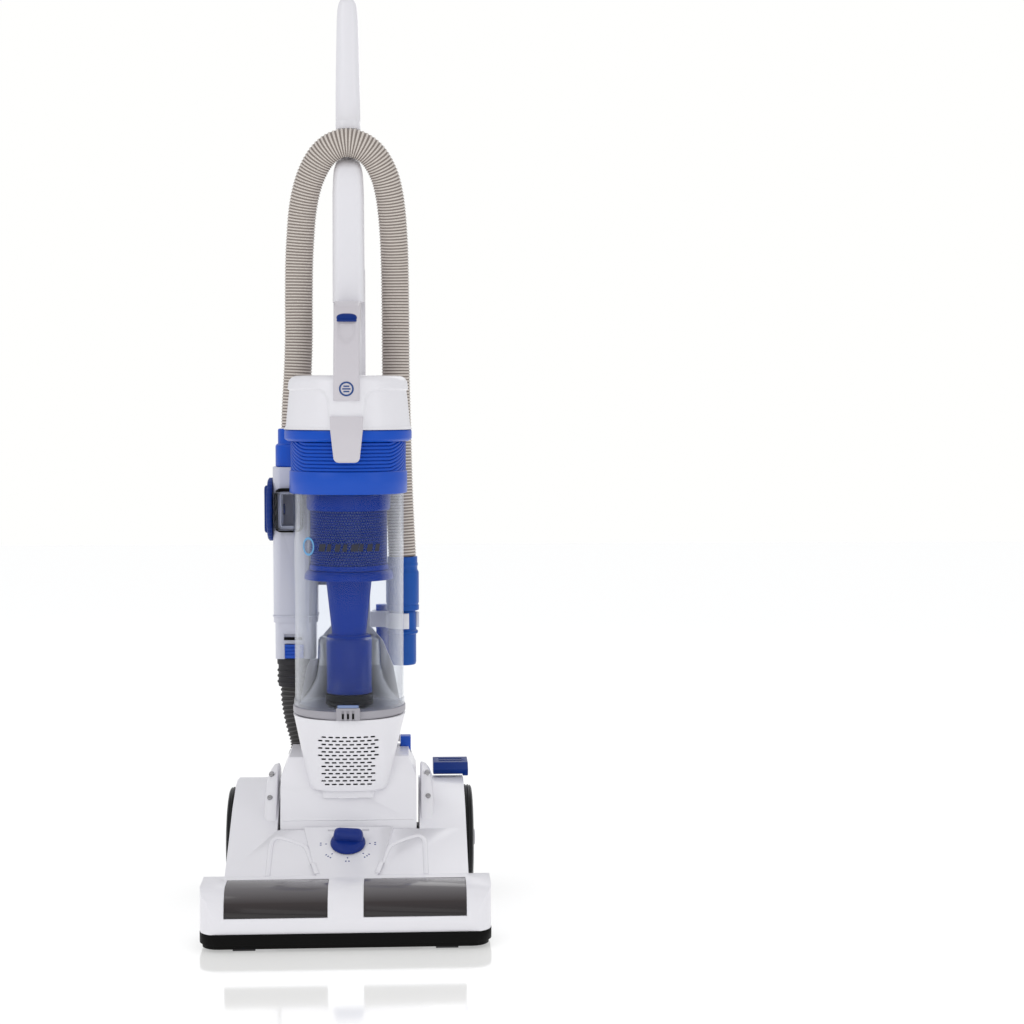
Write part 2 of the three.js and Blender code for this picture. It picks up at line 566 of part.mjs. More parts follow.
function aroundBin() {
  return union(
    bore(0, BIN_Y, CLEAR.bin, 0, BIN_TOP),
    bore(0, BIN_Y, CLEAR.collar, BIN_TOP - 1, BAND_TOP),
    bore(0, BIN_Y, CLEAR.cap, BAND_TOP - 1, CAP_TOP + 6),
  );
}

const SPINE = { front: 108, back: 144, half: 24, neck: POST_HALF, bell: 61, top: 770 };

function spine() {
  const { half, neck, bell } = SPINE;
  const face = [[-bell, 190], [bell, 190], [bell, 240], [bell - 8, 282], [40, 312], [half, 330],
    [half, CAP_TOP - 20],
    [neck, CAP_TOP], [neck, SPINE.top], [-neck, SPINE.top], [-neck, CAP_TOP], [-half, CAP_TOP - 20],
    [-half, 330], [-40, 312], [8 - bell, 282], [-bell, 240]];
  const side = [[SPINE.front, 190], [SPINE.back - 14, 190], [SPINE.back - 4, 240], [SPINE.back, 330],
    [SPINE.back, SPINE.top - 20],
    [SPINE.back - 6, SPINE.top], [POST.back + GAP, SPINE.top], [POST.back + GAP, CAP_TOP + 6],
    [SPINE.front, CAP_TOP + 6]];
  const column = prism('x', side, -half, half);
  const wings = bore(0, BIN_Y, CLEAR.bin + 6, 190, 330)
    .intersect(box(-bell, bell, BIN_Y + 20, 200, 0, 400));
  let frame = union(column, wings).intersect(prism('y', face, 0, 200)).subtract(aroundBin());
  const room = box(WALL - half, half - WALL, SPINE.front + 18, SPINE.back - WALL, 340, CAP_TOP - 40);
  frame = frame.subtract(room).subtract(box(-8, 8, SPINE.front + 20, SPINE.back + 1, 350, 380));
  frame = frame.subtract(tube(LOWER_ROUTE, LOWER_HOSE_R + 1.5, 8, 12));
  frame = frame.subtract(prism('z', inset(ductOutline, -2 * GAP), DUCT_BOTTOM - 1, DUCT_TOP)
    .translate([DUCT_X, DUCT_Y, 0]));
  const hook = rod('y', 7, SPINE.back - 10, SPINE.back + 14, [0, 0, 300], 20)
    .add(prism('y', rounded(7, -26, 6, 6, 3), SPINE.back + 11, SPINE.back + 18).translate([0, 0, 300]));
  frame = frame.subtract(rod('y', 5 + GAP, SPINE.back - 4.5, SPINE.back + 1, [0, 0, UPPER_HOOK_Z], 20));
  piece('spine', 'white', frame.add(hook));
  const swivel = rod('y', 5, SPINE.back - 4, SPINE.back + 12, [0, 0, UPPER_HOOK_Z], 20)
    .add(prism('y', rounded(7, -6, 26, 6, 3), SPINE.back + 11, SPINE.back + 18)
    .translate([0, 0, UPPER_HOOK_Z]));
  piece('cord_hook', 'white', swivel);
  piece('cord_gland', 'black',
    turned([[3.6, 0], [9, 0], [9, 4], [6.5, 6], [5.5, 24], [3.6, 24]], [52, PIVOT_Y + 42 + GAP, 168], 'y',
      20));
}

const UPPER_HOOK_Z = 600;
const POST = { front: 84, back: 124 };

function duct() {
  const wide = prism('z', ductOutline, 336, DUCT_TOP);
  const slim = prism('z', inset(ductOutline, 2), DUCT_BOTTOM, 337);
  let housing = union(wide, slim).translate([DUCT_X, DUCT_Y, 0]).subtract(aroundBin());
  housing = housing.subtract(bore(DUCT_X, DUCT_Y, HOSE_R, DUCT_BOTTOM - 1, DUCT_TOP + 1));
  housing = housing.subtract(box(DUCT_X - 14, DUCT_X + 12, 80, DUCT_Y - DUCT_HALF_Y + 5, 317, 322));
  const latchRoom = box(DUCT_X - 13.5, DUCT_X + 10.5, 80, DUCT_Y - DUCT_HALF_Y + 6.5, DUCT_BOTTOM - 1, 310);
  const port = box(DUCT_X - 16, DUCT_X + 8, 80, DUCT_Y - 10, 455, 494);
  housing = housing.subtract(latchRoom).subtract(port);
  housing = housing.subtract(rod('x', 7 + GAP, DUCT_X - DUCT_HALF_X - 1, DUCT_X - 12, [0, DIAL.y, DIAL_Z],
    20));
  const reach = box(-45, -SPINE.half - GAP, DUCT_Y + 2, DUCT_Y + 14, 380, 500);
  const collar = union(reach).subtract(bore(DUCT_X, DUCT_Y, HOSE_R, 0, 900)).subtract(aroundBin());
  piece('duct_housing', 'white', housing.add(collar));

  const latch = box(DUCT_X - 13, DUCT_X + 10, DUCT_Y - DUCT_HALF_Y - 1, DUCT_Y - DUCT_HALF_Y + 4,
    DUCT_BOTTOM + 1, 309);
  const grooves = [296, 300, 304].map((z) => box(-200, 0, 80, DUCT_Y - DUCT_HALF_Y + 0.2, z, z + 1.6));
  piece('hose_latch', 'blue', latch.subtract(union(...grooves)));

  const gasket = rounded(17.5, -27, 27, 8, 4);
  const face = DUCT_Y - DUCT_HALF_Y - GAP;
  const frame = prism('y', gasket, face - 4, face)
    .subtract(prism('y', inset(gasket, 4), face - 5, face + 1));
  const placed = frame.translate([DUCT_X - 7, 0, DIAL_Z]).subtract(aroundBin().translate([0, 0, 0]));
  piece('port_gasket', 'black', placed);

  const hub = DUCT_X - DUCT_HALF_X - GAP;
  const disc = turned([[0, 0], [DIAL_R, 0], [DIAL_R, 3], [DIAL_R - 2, 4.5], [0, 4.5]], [0, 0, 0], 'x', 32);
  const bar = prism('x', rounded(7, -26.5, 26.5, 6, 3), 4, 11);
  const vane = box(-20, -11.5, -1.5, 1.5, -8, 8).add(rod('x', 7, -18, 1, [0, 0, 0], 20));
  const dial = union(disc, bar).scale([-1, 1, 1]).add(vane.scale([-1, 1, 1]));
  piece('selector_dial', 'blue', dial.translate([hub, DIAL.y, DIAL_Z]));

  const cuff = [[HOSE_R - 3, DUCT_TOP + GAP], [24.4, DUCT_TOP + GAP], [24.4, 553], [21.3, 556],
    [21.3, CUFF_TOP], [HOSE_R - 3, CUFF_TOP]];
  piece('hose_cuff', 'blue', turned(cuff, [DUCT_X, DUCT_Y, 0]));
  const low = [[16, 255], [LOWER_HOSE_R + 1, 255], [LOWER_HOSE_R + 1, DUCT_BOTTOM - GAP],
    [16, DUCT_BOTTOM - GAP]];
  let lowCuff = turned(low, [DUCT_X, DUCT_Y, 0]).subtract(aroundBin());
  lowCuff = lowCuff.add(box(DUCT_X - 24, DUCT_X - 18, DUCT_Y - 3, DUCT_Y + 3, 262, 288));
  piece('lower_hose_cuff', 'dark', lowCuff);
  const { top: elbowTop, x: elbowX } = ELBOW;
  piece('lower_hose', 'dark', tube(LOWER_ROUTE, LOWER_HOSE_R, 8, 12)
    .subtract(box(-200, 0, 0, 300, 0, elbowTop + GAP)));
  const elbow = union(
    prism('z', rounded(22, -21, 22, 8, 4), 134, elbowTop).translate([elbowX, DUCT_Y + 1, 0]),
    box(elbowX - 18, elbowX + 18, PIVOT_Y + 42 + GAP, DUCT_Y, 136, 166),
  ).subtract(bore(elbowX, DUCT_Y, 16, 150, 180))
    .subtract(prism('x', lowerBodyOutline(), -90, 90).translate([0, GAP, GAP]));
  piece('hose_elbow', 'grey', elbow);
}

const DIAL = { y: DUCT_Y };
const ductOutline = rounded(DUCT_HALF_X, -DUCT_HALF_Y, DUCT_HALF_Y, 9, 4);
const ELBOW = { top: 172, x: DUCT_X + 12 };
const LOWER_ROUTE = [[DUCT_X, DUCT_Y, 254.6], [DUCT_X, DUCT_Y, 240], [DUCT_X + 4, DUCT_Y, 215],
  [ELBOW.x - 1, DUCT_Y, 188], [ELBOW.x, DUCT_Y, ELBOW.top + GAP]];
const CUFF_TOP = 574;

// The stretch hose: up from the duct, over the rest on the handle, and down to the wand at the right.
const HOSE_ROUTE = [
  [DUCT_X, DUCT_Y, CUFF_TOP + GAP], [-66, 118, 604], [-63.7, 118, 640], [-62, 118, 684], [-61.6, 117, 733],
  [-60.8, 115, 776],
  [-59, 112, 807], [-56.3, 108, 837], [-51.5, 103, 862], [-44, 98, 884], [-32, 92, 904], [-17, 88, 916],
  [0, 87, 920],
  [17, 88, 916], [32, 92, 904], [43.5, 98, 884], [49.6, 104, 862], [53, 110, 837], [55.2, 116, 807],
  [56.4, 122, 770],
  [57, 125, 720], [57.3, 126, 640], [58.9, 126, 570], [61, 125, 490], [WAND_X, WAND_Y, WAND_TOP + GAP],
];

function wandAndTools() {
  piece('stretch_hose', 'hose', tube(HOSE_ROUTE, HOSE_R - 0.4, 40, 10)
    .subtract(box(-200, 0, 0, 300, 0, CUFF_TOP + GAP)).subtract(box(0, 200, 0, 300, 0, WAND_TOP + GAP)));
  const at = [WAND_X, WAND_Y, 0];
  const cuff = [[14, 348], [20, 348], [20, 355], [20.5, 357], [20.5, 398], [18.5, 400], [18.5, WAND_TOP],
    [14, WAND_TOP]];
  piece('wand_cuff', 'blue', turned(cuff, at).subtract(aroundBin()));
  const tool = [[12, 280], [TOOL_R - 1, 280], [TOOL_R, 284], [TOOL_R, 318], [TOOL_R + 2.5, 320],
    [TOOL_R + 2.5, 322], [TOOL_R, 323],
    [TOOL_R, 348 - GAP], [12, 348 - GAP]];
  piece('dusting_tool', 'blue', turned(tool, at, 'z', 24).subtract(aroundBin()));
  const clipAt = [326, 345];
  const grip = bore(WAND_X, WAND_Y, TOOL_R + 4, ...clipAt)
    .subtract(bore(WAND_X, WAND_Y, TOOL_R + 0.5, 320, 350));
  const arm = box(SPINE.half + GAP, WAND_X - 14, WAND_Y + 4, WAND_Y + 14, ...clipAt);
  const second = bore(40, WAND_Y + 26, 13.5, ...clipAt);
  const mouth = box(WAND_X + 8, WAND_X + 40, WAND_Y - 40, WAND_Y + 2, 300, 360);
  const clip = union(grip, arm.subtract(bore(WAND_X, WAND_Y, TOOL_R + 2, 320, 350)), second)
    .subtract(bore(40, WAND_Y + 26, 10.3, 300, 360)).subtract(mouth)
    .subtract(bore(WAND_X, WAND_Y, TOOL_R + 0.5, 300, 360))
    .subtract(aroundBin()).subtract(box(-SPINE.half - 60, SPINE.half + GAP, 0, 300, 0, 900));
  piece('tool_clip', 'white', clip);
  const flat = [[31.5, WAND_Y + 21], [48.5, WAND_Y + 21], [48.5, WAND_Y + 31], [31.5, WAND_Y + 31]];
  const crevice = prism('z', flat, 259, 324).add(bore(40, WAND_Y + 26, 9, 322, 352));
  piece('crevice_tool', 'blue', crevice);
}

function handle() {
  const side = [[POST.front, CARRY_TOP + GAP], [POST.back, CARRY_TOP + GAP], [POST.back, GRIP_Z],
    [107.5, GRIP_Z], [107.5, REST_Z + 8],
    [POST.front + 14, REST_Z + 2], [POST.front + 3, REST_Z - 2], [POST.front, REST_Z - 14]];
  const face = [[-POST_HALF, 700], [POST_HALF, 700], [POST_HALF - 1, REST_Z - 16],
    [POST_HALF - 6, REST_Z + 4], [13, GRIP_Z],
    [-13, GRIP_Z], [6 - POST_HALF, REST_Z + 4], [1 - POST_HALF, REST_Z - 16]];
  let post = prism('x', side, -30, 30).intersect(prism('y', face, 0, 200));
  const corners = prism('z', rounded(POST_HALF, POST.front, POST.back, 10, 5), 0, 2000);
  post = post.intersect(corners).subtract(tube(HOSE_ROUTE, HOSE_R + 0.4, 40, 10));
  piece('handle_post', 'white', post);

  const tip = HEIGHT;
  const gripSide = [[92, GRIP_Z + GAP], [POST.back, GRIP_Z + GAP], [POST.back - 1, 980],
    [POST.back - 6, 1040], [POST.back - 14, 1080],
    [POST.back - 20, tip - 4], [POST.back - 27, tip], [POST.back - 33, tip - 3],
    [POST.back - 37, tip - 12], [POST.back - 36, 1040], [89, 980]];
  const gripFace = [[-GRIP_HALF, GRIP_Z], [GRIP_HALF, GRIP_Z], [GRIP_HALF - 3, tip - 14],
    [GRIP_HALF - 6, tip - 4], [5, tip + 0.5],
    [-5, tip + 0.5], [6 - GRIP_HALF, tip - 4], [3 - GRIP_HALF, tip - 14]];
  piece('handle_grip', 'white', prism('x', gripSide, -20, 20).intersect(prism('y', gripFace, 0, 200)));
}

// ---- Dust bin ----
function bin() {
  const at = [0, BIN_Y, 0];
  const doorTop = BIN_BASE_Z + DOOR_T;
  const floor = doorTop + GAP;
  const inletX = [DUCT_X - 24, 9.5 - BIN_R];
  const inletZ = [DIAL_Z - 23, DIAL_Z + 23];
  const opening = box(-80, -40, 60, 100, inletZ[0] + 3, inletZ[1] - 3);
  piece('bin_cylinder', 'clear', ring('z', BIN_R - BIN_WALL, BIN_R, floor, BIN_TOP, at, 36)
    .subtract(opening));

  const door = turned([[0, BIN_BASE_Z], [BIN_R - 1, BIN_BASE_Z], [BIN_R + 1, BIN_BASE_Z + 3],
    [BIN_R + 1, doorTop], [0, doorTop]], at, 'z', 36);
  const latchRoom = box(-14 - GAP, 14 + GAP, -40, BIN_Y - BIN_R + 3, 0, 300);
  const pinHole = rod('x', 1.6 + GAP, -20, 20, [0, BIN_Y + BIN_R - 4, BIN_BASE_Z + 5], 12);
  const knuckles = box(-15, 15, BIN_Y + BIN_R - 7, BIN_Y + BIN_R + 2, BIN_BASE_Z, doorTop);
  const slots = box(-6, 6, BIN_Y + BIN_R - 8, BIN_Y + BIN_R + 3, BIN_BASE_Z - 1, doorTop - 2);
  const doorBody = door.subtract(latchRoom)
    .subtract(knuckles.subtract(box(-14, 14, 0, 200, BIN_BASE_Z, doorTop))).subtract(pinHole)
    .subtract(slots);
  piece('bin_door', 'grey', doorBody);
  piece('door_hinge_pin', 'steel', rod('x', 1.6, -18, 18, [0, BIN_Y + BIN_R - 4, BIN_BASE_Z + 5], 12));
  const latchFront = BIN_Y - BIN_R - 5;
  let latch = box(-14, 14, latchFront, BIN_Y - BIN_R + 2.5, BIN_BASE_Z + 2 * GAP, doorTop + 5);
  latch = latch.subtract(bore(0, BIN_Y, BIN_R + 1.5, doorTop - 0.5, 300));
  for (const x of [-6, 0, 6]) latch = latch.subtract(box(x - 1.2, x + 1.2, latchFront - 1,
    latchFront + 1.2, BIN_BASE_Z, doorTop + 2));
  piece('door_latch', 'grey', latch);

  const cone = [
    [25, 257], [27.5, 257], [27.5, 323], [20.5, 327], [27.5, 396], [BIN_R - 13, 402], [BIN_R - 13, 406],
    [24, 406], [18, 328], [25, 320],
  ];
  piece('cyclone_cone', 'blue', turned(cone, at));
  piece('cone_seal', 'dark',
    turned([[19, floor], [28.5, floor], [28.5, 257 - GAP], [19, 257 - GAP]], at, 'z', 32));
  let shroud = ring('z', 43, 46, 406 + GAP, BIN_TOP - 1, at)
    .add(ring('z', 45, BIN_R - BIN_WALL - GAP, BIN_TOP - 16, BIN_TOP - 1, at));
  for (let i = 0; i < 8; i++) {
    const hole = box(-8, 8, -60, -30, 418, BIN_TOP - 24).rotate([0, 0, i * 45]).translate(at);
    shroud = shroud.subtract(hole);
  }
  piece('shroud', 'blue', shroud);

  const collar = [[BIN_R - 6, BIN_TOP + GAP], [COLLAR_R, BIN_TOP + GAP], [COLLAR_R, COLLAR_TOP],
    [COLLAR_R - 2, COLLAR_TOP + 0.5]];
  for (let i = 0; i < 4; i++) {
    const z = COLLAR_TOP + 4 + i * 7.8;
    collar.push([COLLAR_R - 3.5, z - 1], [COLLAR_R - 1.4, z], [COLLAR_R - 1.4, z + 2.6],
      [COLLAR_R - 3.5, z + 3.6]);
  }
  collar.push([COLLAR_R - 2, BAND_TOP - GAP], [BIN_R - 6, BAND_TOP - GAP]);
  piece('bin_collar', 'blue', turned(collar, at));
  const rim = [[BIN_R - 6, BAND_TOP], [RING_R - 3, BAND_TOP], [RING_R, BAND_TOP + 2],
    [RING_R, RING_TOP - 2], [RING_R - 1, RING_TOP], [BIN_R - 6, RING_TOP]];
  piece('top_ring', 'blue', turned(rim, at, 'z', 32));

  const capBase = RING_TOP + GAP;
  const cap = [[RING_R - 4, capBase], [RING_R + 1, capBase], [RING_R + 1, capBase + 20],
    [RING_R - 2, CAP_TOP - 16], [RING_R - 7, CAP_TOP - 4],
    [RING_R - 14, CAP_TOP], [0, CAP_TOP], [0, CAP_TOP - WALL], [RING_R - 16, CAP_TOP - WALL],
    [RING_R - 6, CAP_TOP - 20]];
  const front = BIN_Y - RING_R;
  const tongueFace = [[-14, 540], [-9, 536], [9, 536], [14, 540], [17.5, RING_TOP + 4],
    [17.5, CAP_TOP - 3], [-17.5, CAP_TOP - 3], [-17.5, RING_TOP + 4]];
  const tongueSide = [[front - 4.5, 536], [front - GAP, 536], [front - GAP, RING_TOP],
    [front + 12, RING_TOP + 30], [front + 12, CAP_TOP - 3],
    [front - 1, CAP_TOP - 6], [front - 6, RING_TOP + 30]];
  const tongue = prism('y', tongueFace, -100, 0).intersect(prism('x', tongueSide, -30, 30));
  const lid = turned(cap, at, 'z', 32)
    .add(tongue.subtract(bore(0, BIN_Y, RING_R + GAP, 500, RING_TOP + GAP)));
  piece('bin_cap', 'white', lid);
  piece('bin_filter', 'white', ring('z', 10, RING_R - 20, RING_TOP + 12, RING_TOP + 36, at, 32));

  const loop = [[front + 3, CAP_TOP + GAP], [POST.front - GAP, CAP_TOP + GAP],
    [POST.front - GAP, CARRY_TOP], [62, CARRY_TOP], [22, CARRY_TOP - 6],
    [-6, CARRY_TOP - 26], [-20, CARRY_TOP - 54]];
  const hand = [[2, CAP_TOP + 7], [62, CAP_TOP + 7], [62, CARRY_TOP - 24], [40, CARRY_TOP - 28],
    [20, CARRY_TOP - 38], [6, CARRY_TOP - 56]];
  const grab = prism('x', loop, -CARRY_HALF, CARRY_HALF).subtract(prism('x', hand, -40, 40));
  const buttonSide = [[0.3, CARRY_TOP - 25], [17, CARRY_TOP - 25], [17, CARRY_TOP - 8.5],
    [0.3, CARRY_TOP - 20.5]];
  const pocket = box(-12.5, 12.5, 0, 17.5, CARRY_TOP - 29, CARRY_TOP + 10);
  piece('carry_handle', 'white', grab.subtract(pocket));
  piece('bin_button', 'blue', prism('x', buttonSide, -12, 12));

  const scoop = box(inletX[0], inletX[1], 62, DUCT_Y - DUCT_HALF_Y - 5, inletZ[0], inletZ[1])
    .subtract(box(inletX[0] + 2.5, inletX[1] - 2.5, 61, 100, inletZ[0] + 2.5, inletZ[1] - 2.5)
    .subtract(box(-100, inletX[1] - 1, 61, 64.5, 0, 900)))
    .subtract(bore(0, BIN_Y, BIN_R + 1, 0, 900));
  piece('bin_inlet', 'clear', scoop);
}

floorHead();
soleAndBumper();
brushAndBelt();
wheels();
frontCarriage();
headControls();
lowerBody();
motor();
spine();
duct();
wandAndTools();
handle();
bin();

export default machine;
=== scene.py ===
"""Upright vacuum cleaner: looks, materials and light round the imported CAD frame. Metres, +Z up, front to -Y."""
import json
from math import asin, atan2, cos, degrees, dist, hypot, pi, radians, sin, sqrt

import bmesh
import bpy
from mathutils import Matrix, Vector
from mathutils.bvhtree import BVHTree

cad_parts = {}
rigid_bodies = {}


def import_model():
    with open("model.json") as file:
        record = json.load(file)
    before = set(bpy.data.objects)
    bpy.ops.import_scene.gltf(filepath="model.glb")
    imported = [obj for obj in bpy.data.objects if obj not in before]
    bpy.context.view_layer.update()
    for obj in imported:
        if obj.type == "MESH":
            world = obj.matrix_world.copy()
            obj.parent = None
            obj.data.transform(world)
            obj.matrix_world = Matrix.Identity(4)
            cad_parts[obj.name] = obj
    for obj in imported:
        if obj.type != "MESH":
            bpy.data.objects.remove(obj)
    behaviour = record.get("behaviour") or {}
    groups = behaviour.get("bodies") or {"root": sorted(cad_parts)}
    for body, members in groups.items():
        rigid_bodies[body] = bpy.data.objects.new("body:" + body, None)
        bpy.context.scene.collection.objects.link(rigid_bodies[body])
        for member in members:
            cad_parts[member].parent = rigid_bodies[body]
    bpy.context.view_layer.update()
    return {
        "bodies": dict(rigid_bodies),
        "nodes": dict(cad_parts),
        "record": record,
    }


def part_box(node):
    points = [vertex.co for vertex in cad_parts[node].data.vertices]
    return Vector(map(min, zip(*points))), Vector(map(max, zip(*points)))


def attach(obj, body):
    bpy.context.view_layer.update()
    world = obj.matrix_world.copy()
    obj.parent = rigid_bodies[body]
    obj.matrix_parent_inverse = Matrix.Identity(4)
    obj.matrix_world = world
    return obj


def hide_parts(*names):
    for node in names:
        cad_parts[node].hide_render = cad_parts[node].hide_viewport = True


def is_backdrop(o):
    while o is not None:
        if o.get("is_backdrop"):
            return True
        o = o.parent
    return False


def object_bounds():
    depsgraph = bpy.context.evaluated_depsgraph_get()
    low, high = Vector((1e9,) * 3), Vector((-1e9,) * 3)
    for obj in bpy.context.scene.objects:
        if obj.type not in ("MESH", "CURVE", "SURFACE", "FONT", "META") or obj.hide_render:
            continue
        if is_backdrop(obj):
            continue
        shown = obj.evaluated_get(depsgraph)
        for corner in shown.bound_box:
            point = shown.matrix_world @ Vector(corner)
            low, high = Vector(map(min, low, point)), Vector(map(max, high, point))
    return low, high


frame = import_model()
MM = 0.001


# ---- Studio ----
# A pale seamless floor, soft light from all round and a camera at standing height,
# a little to the machine's right, as a catalogue picture is taken.
CAMERA_AT = (0.060, -2.319, 0.609)
CAMERA_TILT = radians(3.26)
CAMERA_TURN = radians(3.31)
LENS_MM = 69.05

scene = bpy.context.scene
scene.view_settings.view_transform = "Standard"
camera_data = bpy.data.cameras.new("studio_camera")
camera_data.lens = LENS_MM
camera_data.sensor_width = 36
camera = bpy.data.objects.new("studio_camera", camera_data)
camera.location = CAMERA_AT
camera.rotation_euler = (pi / 2 - CAMERA_TILT, 0, -CAMERA_TURN)
scene.collection.objects.link(camera)
scene.camera = camera


def shader_node(tree, kind, **values):
    """A shader node with fixed values on the inputs named."""
    node = tree.nodes.new("ShaderNode" + kind)
    for socket, value in values.items():
        node.inputs[socket.replace("_", " ")].default_value = value
    return node


def scaled_sum(tree, factor=None, added=None):
    """A maths node for input times factor plus added; whatever isn't given is left for a link."""
    node = shader_node(tree, "Math")
    node.operation = "MULTIPLY_ADD"
    for socket, value in ((1, factor), (2, added)):
        if value is not None:
            node.inputs[socket].default_value = value
    return node


def wire(tree, *joins):
    """Links, each given as a node, its output, the next node and its input."""
    for start, leaving, end, entering in joins:
        tree.links.new(start.outputs[leaving], end.inputs[entering])


def colour_stops(ramp, *stops):
    """Sets a ramp's first and last stops, then adds any between them, as (position, colour)."""
    elements = ramp.color_ramp.elements
    for k, (position, colour) in enumerate(stops):
        stop = elements[k] if k < 2 else elements.new(position)
        stop.position, stop.color = position, colour


def studio_world():
    """White to the camera; to everything else a soft sky, a little darker towards the ground."""
    world = bpy.data.worlds.new("studio_world")
    world.use_nodes = True
    tree = world.node_tree
    tree.nodes.clear()
    out, where, split = (shader_node(tree, kind) for kind in ("OutputWorld", "TexCoord", "SeparateXYZ"))
    pale = shader_node(tree, "Background", Color=(1, 1, 0.99, 1), Strength=1.0)
    soft = shader_node(tree, "Background", Strength=0.78)
    ramp, height = shader_node(tree, "ValToRGB"), scaled_sum(tree, 0.5, 0.5)
    colour_stops(ramp, (0.46, (0.82, 0.83, 0.86, 1)), (0.85, (1, 1, 1, 1)))
    seen, mix = shader_node(tree, "LightPath"), shader_node(tree, "MixShader")
    wire(tree, (where, "Generated", split, 0), (split, "Z", height, 0), (height, 0, ramp, 0),
         (ramp, 0, soft, "Color"), (seen, "Is Camera Ray", mix, 0), (soft, 0, mix, 1), (pale, 0, mix, 2),
         (mix, 0, out, 0))
    scene.world = world


def studio_lamp(name, place, aim, size, power):
    lamp = bpy.data.lights.new(name, "AREA")
    lamp.shape = "RECTANGLE"
    lamp.size, lamp.size_y = size
    lamp.energy = power
    obj = bpy.data.objects.new(name, lamp)
    obj.location = place
    obj.rotation_euler = (Vector(aim) - Vector(place)).to_track_quat("-Z", "Y").to_euler()
    scene.collection.objects.link(obj)


studio_world()
studio_lamp("key_softbox", (-1.7, -1.7, 1.9), (0, 0, 0.5), (1.2, 1.8), 9)
studio_lamp("fill_softbox", (1.9, -1.3, 1.3), (0, 0, 0.5), (0.8, 1.8), 4)
studio_lamp("low_softbox", (0.2, -2.4, 0.45), (0, 0, 0.15), (1.8, 0.5), 1.2)
studio_lamp("back_softbox", (0.6, 1.9, 1.8), (0, 0, 0.6), (1.6, 1.2), 6)


def studio_floor():
    """A wide pale sheet with a faint gloss, lit a little from within so that no horizon shows."""
    mesh = bpy.data.meshes.new("studio_floor")
    reach = 6.0
    mesh.from_pydata([(x * reach, y * reach, 0) for x, y in ((-1, -1), (1, -1), (1, 1), (-1, 1))], [],
                     [(0, 1, 2, 3)])
    floor = bpy.data.objects.new("studio_floor", mesh)
    floor.location.z = -0.0005
    scene.collection.objects.link(floor)
    paint = bpy.data.materials.new("pale_floor")
    paint.use_nodes = True
    tree = paint.node_tree
    matt, out = tree.nodes["Principled BSDF"], tree.nodes["Material Output"]
    matt.inputs["Base Color"].default_value = (0.90, 0.90, 0.89, 1)
    matt.inputs["Specular IOR Level"].default_value = 0.0
    matt.inputs["Emission Color"].default_value = (1, 1, 0.99, 1)
    matt.inputs["Emission Strength"].default_value = 0.76
    sheen, mix = shader_node(tree, "BsdfGlossy", Roughness=0.09), shader_node(tree, "MixShader")
    mix.inputs[0].default_value = 0.50
    wire(tree, (matt, 0, mix, 1), (sheen, 0, mix, 2), (mix, 0, out, "Surface"))
    mesh.materials.append(paint)
    floor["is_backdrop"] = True


studio_floor()


# ---- Stretch hose ----
# A soft vinyl hose wound on a spring wire: fine raised ribs, beige grey. It leaves the blue cuff on the duct,
# hangs over the rest behind the handle and comes down to the wand at the machine's right.
HOSE_R = 18.0
HOSE_PITCH = 3.7
CUFF_TOP, WAND_TOP = 574.0, 415.0
HOSE_ROUTE = [
    (-67, 118, CUFF_TOP + 0.3), (-66, 118, 604), (-63.7, 118, 640), (-62, 118, 684), (-61.6, 117, 733),
    (-60.8, 115, 776), (-59, 112, 807), (-56.3, 108, 837), (-51.5, 103, 862), (-44, 98, 884), (-32, 92, 904),
    (-17, 88, 916), (0, 87, 920), (17, 88, 916), (32, 92, 904), (43.5, 98, 884), (49.6, 104, 862),
    (53, 110, 837), (55.2, 116, 807), (56.4, 122, 770), (57, 125, 720), (57.3, 126, 640), (58.9, 126, 570),
    (61, 125, 490), (64.5, 124, WAND_TOP + 0.3),
]


def smooth_route(points, step):
    """Evenly spaced points, in metres, on a smooth curve through points in millimetres."""
    pts = [Vector(p) * MM for p in points]
    pts = [2 * pts[0] - pts[1]] + pts + [2 * pts[-1] - pts[-2]]
    fine = []
    for a, b, c, d in zip(pts, pts[1:], pts[2:], pts[3:]):
        for i in range(24):
            t = i / 24
            fine.append(0.5 * (2 * b + (c - a) * t + (2 * a - 5 * b + 4 * c - d) * t * t
                               + (3 * b - a - 3 * c + d) * t ** 3))
    fine.append(pts[-2])
    total = sum((q - p).length for p, q in zip(fine, fine[1:]))
    count = max(2, round(total / step))
    spaced, gone, want = [fine[0]], 0.0, total / count
    for p, q in zip(fine, fine[1:]):
        length = (q - p).length
        while gone + length >= want * len(spaced) and len(spaced) < count:
            spaced.append(p.lerp(q, (want * len(spaced) - gone) / length))
        gone += length
    spaced.append(fine[-1])
    return spaced, total


def add_piece(name, verts, faces, smooth=True):
    mesh = bpy.data.meshes.new(name)
    mesh.from_pydata(verts, [], faces)
    mesh.validate()
    shaped = bmesh.new()
    shaped.from_mesh(mesh)
    bmesh.ops.recalc_face_normals(shaped, faces=shaped.faces)
    shaped.to_mesh(mesh)
    shaped.free()
    mesh.polygons.foreach_set("use_smooth", [smooth] * len(mesh.polygons))
    obj = bpy.data.objects.new(name, mesh)
    scene.collection.objects.link(obj)
    return obj


def skin(rings, closed_ends=True):
    """Vertices and faces of a skin over rings that all have the same number of points."""
    count = len(rings[0])
    verts = [v for ring in rings for v in ring]
    faces = []
    for k in range(len(rings) - 1):
        for i in range(count):
            j = (i + 1) % count
            faces.append((k * count + i, k * count + j, (k + 1) * count + j, (k + 1) * count + i))
    if closed_ends:
        faces.append(tuple(reversed(range(count))))
        faces.append(tuple((len(rings) - 1) * count + i for i in range(count)))
    return verts, faces


